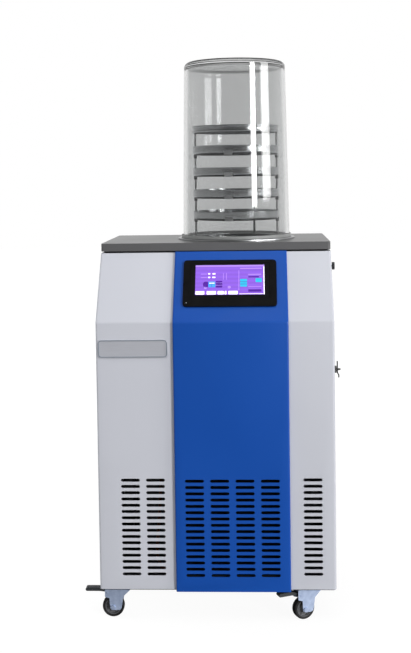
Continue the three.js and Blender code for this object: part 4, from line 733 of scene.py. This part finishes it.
outer_line, inner_line = plate_outline(RIM_IN), plate_outline(RIM_IN + RIM_WIDTH)
count = len(outer_line)
rim_points = [Vector((x, y, z)) for y in (badge_low.y + 0.4, badge_low.y - RIM_PROUD)
              for x, z in outer_line + inner_line]
rim_faces = []
for i in range(count):
    j = (i + 1) % count
    for a, b in ((0, 2 * count), (2 * count, 3 * count), (3 * count, count), (count, 0)):
        rim_faces.append((a + i, a + j, b + j, b + i))
badge_rim = show("badge_rim", rim_points, rim_faces, dyed_rim)
settle(badge_rim, "stainless_steel")

# ------------------------ seal ring
# A moulded ring of clear silicone between the flange and the jar's foot, with a lip that keeps
# the jar central.


# Moulded silicone: milky and soft to light, with a slightly greasy bloom.
silicone = clouded_finish("clear_silicone_moulded", "a9abab", "bfc0bf", (16, 4), (0.3, 0.5),
                          sockets={"Transmission Weight": 0.6, "IOR": 1.41})
clad("drain_pipe", silicone, 0)
jar_low, jar_high = extent("bell_jar")
JAR_FOOT = (jar_high.x - jar_low.x) / 2
seal_low, seal_high = extent("seal_ring")
SEAL_OUTER, SEAL_INNER, SEAL_THICK = JAR_FOOT + 4.2, JAR_FOOT - 13, 2.5
seal_profile = rounded([
    (SEAL_INNER, seal_low.z, 0.4), (SEAL_OUTER, seal_low.z, 0.8), (SEAL_OUTER, seal_high.z, 1.2),
    (JAR_FOOT + 0.8, seal_high.z, 0.8), (JAR_FOOT + 0.8, seal_low.z + SEAL_THICK, 0.3),
    (SEAL_INNER, seal_low.z + SEAL_THICK, 0.5),
])
seal = show("silicone_seal", *moved(turned(seal_profile, CHAMBER_STEPS), AXIS), silicone)
settle(seal, "clear_silicone", "seal_ring")

# ------------------------ bell jar
# One thick moulding of clear acrylic, open below, with a little draft, a round shoulder and a flat
# roof. It only stands on its seal; the vacuum holds it.

# Cast acrylic, polished: a faint grey tint, a wavy wall and a slight haze of fine scratches.
acrylic, tree, place = blank("clear_acrylic_cast")
stretched = put(tree, "ShaderNodeMapping", {"Vector": place, "Scale": (per(60), per(60), per(400))})
wave = put(tree, "ShaderNodeTexNoise", {"Vector": stretched.outputs["Vector"], "Scale": 1.0, "Detail": 1.0})
haze = put(tree, "ShaderNodeTexNoise", {"Vector": place, "Scale": per(30), "Detail": 5.0})
dull = put(tree, "ShaderNodeMapRange", {"Value": haze.outputs["Fac"], "To Min": 0.0, "To Max": 0.05})
relief = put(tree, "ShaderNodeBump", {"Height": wave.outputs["Fac"], "Strength": 0.15, "Distance": 1 * MM})
shader = put(tree, "ShaderNodeBsdfPrincipled", {
    "Base Color": linear("d5d6d6"), "Roughness": dull.outputs["Result"], "Transmission Weight": 1.0,
    "IOR": 1.49, "Normal": relief.outputs["Normal"]})
put(tree, "ShaderNodeOutputMaterial", {"Surface": shader.outputs["BSDF"]})

JAR_TOP, JAR_WALL, JAR_ROOF, JAR_SHOULDER = JAR_FOOT - 8.7, 10, 14, 15
jar_profile = rounded([
    (JAR_FOOT - JAR_WALL, jar_low.z, 0.8), (JAR_FOOT, jar_low.z, 1.2), (JAR_TOP, jar_high.z, JAR_SHOULDER),
    (0, jar_high.z, 0),
], 10)
inner_profile = rounded([
    (0, jar_high.z - JAR_ROOF, 0), (JAR_TOP - JAR_WALL, jar_high.z - JAR_ROOF, JAR_SHOULDER - 6),
    (JAR_FOOT - JAR_WALL, jar_low.z + 0.8, 0),
], 10)
jar = show("acrylic_jar", *moved(turned(inner_profile + jar_profile[1:], 192), AXIS), acrylic)
settle(jar, "clear_acrylic", "bell_jar")

# ------------------------ rack, shelves and trays
# A loose rack of stainless steel stands in the jar: a base ring with three threaded posts, four
# shelf rings clamped to them, a pressed tray on each, and a shallow lid on the top.

tray_steel = spun_steel("stainless_tray_pressed", "adafb1", "d2d3d4", 0.17, 3.2, 0.16)
# Bright drawn rod, nearly white where its thread catches the light.
post_steel = bare_metal("stainless_post_bright", "c2c4c6", "e0e1e2", (0.42, 0.55), 5, 0.8, 0.1)
# The lifting tabs keep the satin face of the sheet, and the shelf rings are blasted dull and dark.
satin_steel = bare_metal("stainless_tab_satin", "c4c5c6", "d8d9da", (0.5, 0.62), 6, 0.7, 0.15)
shelf_steel = bare_metal("stainless_shelf_blasted", "3f4042", "5d5e60", (0.42, 0.56), 6, 0.7, 0.25)
rack_low, rack_high = extent("rack_frame")
POST_CIRCLE, POST_RADIUS, POST_ANGLES = 126.5, 3.5, (20, 66, 160)
BASE_OUTER, BASE_WIDTH, BASE_THICK = 135, 37, 3
THREAD_PITCH, THREAD_DEPTH = 2.5, 0.5  # a real M7 pitch is 1 mm; it is drawn coarser, so that it shows


def around_posts(make):
    """What make(x, y, angle) gives at each post, as one mesh about the chamber's axis."""
    turns = [(angle, math.radians(angle)) for angle in POST_ANGLES]
    return gather(*[make(POST_CIRCLE * math.cos(a), POST_CIRCLE * math.sin(a), angle) for angle, a in turns])


def ring(inner, outer, low, high):
    """A flat ring with its edges broken."""
    corners = [(inner, low), (outer, low), (outer, high), (inner, high)]
    return turned(rounded([(*corner, 0.5) for corner in corners], 3), CHAMBER_STEPS)


foot = rack_low.z + BASE_THICK - 0.5
thread = [(0, foot)]  # a post's profile, its thread drawn as rings
for i in range(int((rack_high.z - foot) / THREAD_PITCH)):
    z = foot + i * THREAD_PITCH
    thread += [(POST_RADIUS - THREAD_DEPTH, z), (POST_RADIUS, z + THREAD_PITCH / 2)]
thread += [(POST_RADIUS - THREAD_DEPTH, rack_high.z), (0, rack_high.z)]
posts = around_posts(lambda x, y, angle: moved(turned(thread, 16), (x, y, 0)))
base_ring = ring(BASE_OUTER - BASE_WIDTH, BASE_OUTER, rack_low.z, rack_low.z + BASE_THICK)
rack = show("rack_base_and_posts", *moved(gather(base_ring, posts), AXIS), post_steel)
settle(rack, "stainless_steel", "rack_frame")

SHELF_OUTER, SHELF_WIDTH, SHELF_THICK, ARM_HALF = 114, 10, 3, 4
COLLAR, COLLAR_BORE, COLLAR_HEIGHT = 5.6, POST_RADIUS + 0.2, 11
TRAY_RADIUS, TRAY_WALL, TRAY_CORNER, TRAY_HEIGHT, TRAY_SHEET = 121.5, 120, 4, 21.6, 1.2
TAB_ANGLE, TAB_HALF, TAB_HEIGHT, TAB_DROP = -98, 11, 12, 4
FOOT_FROM = TRAY_WALL - TRAY_CORNER - 2  # how far in the tab's foot reaches under the tray


def tray_profile(level):
    """A deep-drawn pan: a flat floor, a round corner, an upright wall and a small bead along its rim."""
    rim = TRAY_RADIUS - 1.2
    top = level + TRAY_HEIGHT
    return rounded([
        (0, level, 0), (TRAY_WALL, level, TRAY_CORNER), (rim, top - 2.6, 0.3), (TRAY_RADIUS, top - 2.4, 0.9),
        (TRAY_RADIUS, top, 0.9), (rim - TRAY_SHEET, top, 0.5),
        (TRAY_WALL - TRAY_SHEET, level + TRAY_SHEET, TRAY_CORNER - TRAY_SHEET), (0, level + TRAY_SHEET, 0),
    ], 6)


for number in range(1, 5):
    top = extent(f"shelf_ring_{number}")[1].z
    shelf = ring(SHELF_OUTER - SHELF_WIDTH, SHELF_OUTER, top - SHELF_THICK, top)
    arm = drawn(bar(SHELF_OUTER - 3, POST_CIRCLE, ARM_HALF), top - SHELF_THICK, top - 0.2)
    arms = around_posts(lambda x, y, angle: moved(arm, turn=angle))
    collar = turned(rounded([(COLLAR_BORE, top - COLLAR_HEIGHT, 0), (COLLAR, top - COLLAR_HEIGHT, 0.6),
                             (COLLAR, top, 0.6), (COLLAR_BORE, top, 0)]), 32)
    collars = around_posts(lambda x, y, angle: moved(collar, (x, y, 0)))
    shelf_piece = show(f"shelf_{number}", *moved(gather(shelf, arms, collars), AXIS), shelf_steel)
    settle(shelf_piece, "stainless_steel", f"shelf_ring_{number}")

    tray_floor = extent(f"tray_{number}")[0].z + TAB_DROP
    upright = rounded([(*point, 0) for point in bar(TRAY_RADIUS - 1, TRAY_RADIUS, TAB_HALF)])
    tab = gather(drawn(upright, tray_floor - TAB_DROP, tray_floor - TAB_DROP + TAB_HEIGHT),
                 drawn(bar(FOOT_FROM, TRAY_RADIUS, TAB_HALF), tray_floor - 1, tray_floor - 0.2))
    grip = show(f"tray_grip_{number}", *moved(moved(tab, turn=TAB_ANGLE), AXIS), satin_steel)
    settle(grip, "stainless_steel")
    pan = turned(tray_profile(tray_floor), CHAMBER_STEPS)
    tray = show(f"tray_pan_{number}", *moved(pan, AXIS), tray_steel)
    settle(tray, "stainless_steel", f"tray_{number}")

lid_low, lid_high = extent("rack_top_plate")
LID_WAIST, LID_BEAD, LID_SHEET, EAR = TRAY_RADIUS - 3, 5.6, 1.6, 5.4
under = lid_high.z - LID_SHEET
lid_profile = rounded([
    (0, under, 0), (LID_WAIST - LID_SHEET, under, 1), (LID_WAIST - LID_SHEET, lid_low.z, 0),
    (TRAY_RADIUS, lid_low.z, 1.6), (TRAY_RADIUS, lid_low.z + LID_BEAD, 1.6), (LID_WAIST, lid_low.z + LID_BEAD, 1),
    (LID_WAIST, lid_high.z - LID_BEAD, 1), (TRAY_RADIUS, lid_high.z - LID_BEAD, 1.6), (TRAY_RADIUS, lid_high.z, 1.6),
    (0, lid_high.z, 0),
])
boss = turned(rounded([(0, lid_low.z, 0), (EAR, lid_low.z, 0.6), (EAR, lid_high.z - 2, 0.8),
                       (0, lid_high.z - 2, 0)]), 32)
neck = drawn(bar(LID_WAIST - 1, POST_CIRCLE, EAR), lid_low.z, lid_high.z - 2.2)
ears = around_posts(lambda x, y, angle: gather(moved(boss, (x, y, 0)), moved(neck, turn=angle)))
lid = show("rack_lid", *moved(gather(turned(lid_profile, CHAMBER_STEPS), ears), AXIS), tray_steel)
settle(lid, "stainless_steel", "rack_top_plate")

# ------------------------ power inlet, switch and pump socket
# Moulded black modules that clip into the back panel: the inlet with its three flat pins and a
# rocker beside it, and the socket that feeds the pump.

clad("power_inlet", black_abs, 0.4)
clad("pump_socket", black_abs, 0.4)
clad("power_switch", glass_filled_nylon("black_nylon_rocker", "141516", "222325"), 0.5)

# ------------------------ vacuum port
# A stainless tube from the pot, with a collar outside the back panel and a small clamp flange on
# its end for the pump's hose.

PORT_OUTER, FLANGE, FLANGE_THICK, COLLAR_OUTER = 14, 20, 4, 23
collar_at = back_high.y + 0.3
neck_at = port_high.y - FLANGE_THICK
port_profile = rounded([
    (PORT_BORE, port_low.y, 0), (PORT_OUTER, port_low.y, 0), (PORT_OUTER, collar_at, 0), (COLLAR_OUTER, collar_at, 0.4),
    (COLLAR_OUTER, collar_at + 3, 0.8), (PORT_OUTER, collar_at + 3, 0.8), (PORT_OUTER, neck_at - 3, 0.5),
    (FLANGE, neck_at, 0.5), (FLANGE, port_high.y, 0.8), (PORT_BORE + 1.2, port_high.y, 0.3),
    (PORT_BORE, port_high.y - 1.2, 0.3),
])
port = show("vacuum_port_tube", *moved(turned(port_profile, 64, "Y"), (AXIS.x, 0, port_middle.z)), post_steel)
settle(port, "stainless_steel", "vacuum_port")

# ------------------------ drain and vent valves
# Two small valves on the right side, of turned brass with a nickel plate: a ball valve with a spout
# and a nylon lever for the melt water, and a needle valve with a ribbed knob that lets air back into
# the jar.

# Nickel plate over turned brass: a warm grey shine with dark edges.
nickel = bare_metal("nickel_plated_brass_turned", "8b8a86", "bdbbb5", (0.22, 0.38), 8, 0.9, 0.12)
clad("drain_valve_body", nickel, 0.5)
clad("vent_valve_body", nickel, 0.5)
valve_nylon = glass_filled_nylon("black_nylon_moulded", "1b1c1e", "303235")
clad("drain_valve_lever", valve_nylon, 0.5)
clad("vent_valve_knob", valve_nylon, 0.3)

# ------------------------ studio
# A pale floor, a white surround and soft light: two tall softboxes to the right of the front, which
# stand as bright bands on the jar, and four wide ones that fill the top, the front, the left and the
# back.


def softbox(name, azimuth, distance, centre_z, width, height, watts, aim):
    """A soft lamp round the machine; azimuth 0 is straight in front, and 90 is the right."""
    lamp = bpy.data.objects.new(name, bpy.data.lights.new(name, "AREA"))
    bpy.context.scene.collection.objects.link(lamp)
    lamp.data.shape = "RECTANGLE"
    lamp.data.size, lamp.data.size_y = width, height
    lamp.data.energy = watts
    a = math.radians(azimuth)
    target = Vector((AXIS.x * MM, AXIS.y * MM, aim))
    lamp.location = Vector((target.x + distance * math.sin(a), target.y - distance * math.cos(a), centre_z))
    lamp.rotation_euler = (target - lamp.location).to_track_quat("-Z", "Y").to_euler()
    return lamp


softbox("softbox_inner", 42, 30, 6.3, 5.7, 10.5, 6300, 1.6)
softbox("softbox_outer", 73, 30, 6.4, 10.9, 10.5, 3900, 1.6)
# The four that fill are not shown by polished things.
for name, azimuth, distance, height, watts in (
        ("softbox_overhead", 0, 3, 6.1, 140), ("softbox_front", -25, 6, 2.6, 50),
        ("softbox_left", -100, 6, 2.6, 190), ("softbox_back", 180, 6, 2.6, 170)):
    lamp = softbox(name, azimuth, distance, height, 4, 3, watts, 0.9)
    lamp.visible_glossy = False
    lamp.visible_transmission = False

# Matt pale floor: seen as white where no shadow lies, and lighting the machine as a pale floor does.
floor_paint, tree, place = blank("pale_floor_matt")
mottle = put(tree, "ShaderNodeTexNoise", {"Vector": place, "Scale": per(300), "Detail": 3.0})
tone = put(tree, "ShaderNodeMixRGB", {
    "Fac": mottle.outputs["Fac"], "Color1": linear("6a6a6a"), "Color2": linear("6f6f6f")})
paint = put(tree, "ShaderNodeBsdfDiffuse", {"Color": tone.outputs["Color"]})
faint = put(tree, "ShaderNodeBsdfDiffuse", {"Color": linear("505050")})
away = put(tree, "ShaderNodeVectorMath", {0: place}, operation="LENGTH").outputs["Value"]
fade = put(tree, "ShaderNodeMapRange", {
    "Value": away, "From Min": 1.0, "From Max": 3.0, "To Min": 0.94, "To Max": 1.0}, interpolation_type="SMOOTHSTEP")
glow = put(tree, "ShaderNodeEmission", {"Color": (1, 1, 1, 1), "Strength": fade.outputs["Result"]})
seen = put(tree, "ShaderNodeAddShader", {0: faint.outputs["BSDF"], 1: glow.outputs["Emission"]})
path = put(tree, "ShaderNodeLightPath")
shown = put(tree, "ShaderNodeMath", {
    0: path.outputs["Is Camera Ray"], 1: path.outputs["Is Transmission Ray"]}, operation="MAXIMUM")
both = put(tree, "ShaderNodeMixShader", {
    0: shown.outputs["Value"], 1: paint.outputs["BSDF"], 2: seen.outputs["Shader"]})
put(tree, "ShaderNodeOutputMaterial", {"Surface": both.outputs["Shader"]})

FLOOR_RADIUS = 14000
floor_disc = turned([(0, -0.5), (FLOOR_RADIUS, -0.5), (FLOOR_RADIUS, -20), (0, -20)], 96)
show("floor", *floor_disc, floor_paint)

world = bpy.data.worlds.new("studio")
bpy.context.scene.world = world
world.use_nodes = True
sky = world.node_tree
sky.nodes.clear()
path = put(sky, "ShaderNodeLightPath")
direction = put(sky, "ShaderNodeTexCoord").outputs["Generated"]
parts = put(sky, "ShaderNodeSeparateXYZ", {"Vector": direction})
# What polished things show, by its direction round the machine from behind it over the left: the
# white backdrop, a grey wall on the left, the dim room behind the viewer, and the backdrop again.
# Above the walls the room is dark, with one pale ceiling panel straight overhead.
ROOM = [(-180, 0.2), (-160, 0.16), (-144, 0.36), (-118, 0.5), (-60, 0.7), (-40, 1.0), (60, 1.0), (90, 0.7),
        (150, 0.35), (172, 0.18)]  # degrees and brightness
CEILING = [(0.2, 1.0), (0.5, 0.26), (0.8, 0.26), (0.95, 0.8)]  # sine of the height and brightness
round_about = put(sky, "ShaderNodeMath", {
    0: parts.outputs["X"], 1: parts.outputs["Y"]}, operation="ARCTAN2").outputs["Value"]
turn = put(sky, "ShaderNodeMapRange", {"Value": round_about, "From Min": -math.pi, "From Max": math.pi})
room = put(sky, "ShaderNodeValToRGB", {"Fac": turn.outputs["Result"]})
ceiling = put(sky, "ShaderNodeValToRGB", {"Fac": parts.outputs["Z"]})
for node, levels in ((room, [((angle + 180) / 360, level) for angle, level in ROOM]), (ceiling, CEILING)):
    stops = node.color_ramp.elements
    while len(stops) < len(levels):
        stops.new(0.5)
    for stop, (position, level) in zip(stops, levels):
        stop.position = position
        stop.color = (level, level, level, 1)

FILL = 0.22  # the even light of the room on matt things
fill = put(sky, "ShaderNodeBackground", {"Color": (1, 1, 1, 1), "Strength": FILL})
surround = put(sky, "ShaderNodeBackground", {"Color": room.outputs["Color"], "Strength": ceiling.outputs["Color"]})
backdrop = put(sky, "ShaderNodeBackground", {"Color": (1, 1, 1, 1), "Strength": 1.0})
seen_bent = put(sky, "ShaderNodeMath", {
    0: path.outputs["Is Glossy Ray"], 1: path.outputs["Is Transmission Ray"]}, operation="MAXIMUM")
indirect = put(sky, "ShaderNodeMixShader", {
    0: seen_bent.outputs["Value"], 1: fill.outputs["Background"], 2: surround.outputs["Background"]})
mixed = put(sky, "ShaderNodeMixShader", {
    0: path.outputs["Is Camera Ray"], 1: indirect.outputs["Shader"], 2: backdrop.outputs["Background"]})
put(sky, "ShaderNodeOutputWorld", {"Surface": mixed.outputs["Shader"]})

bpy.context.scene.view_settings.view_transform = "Standard"
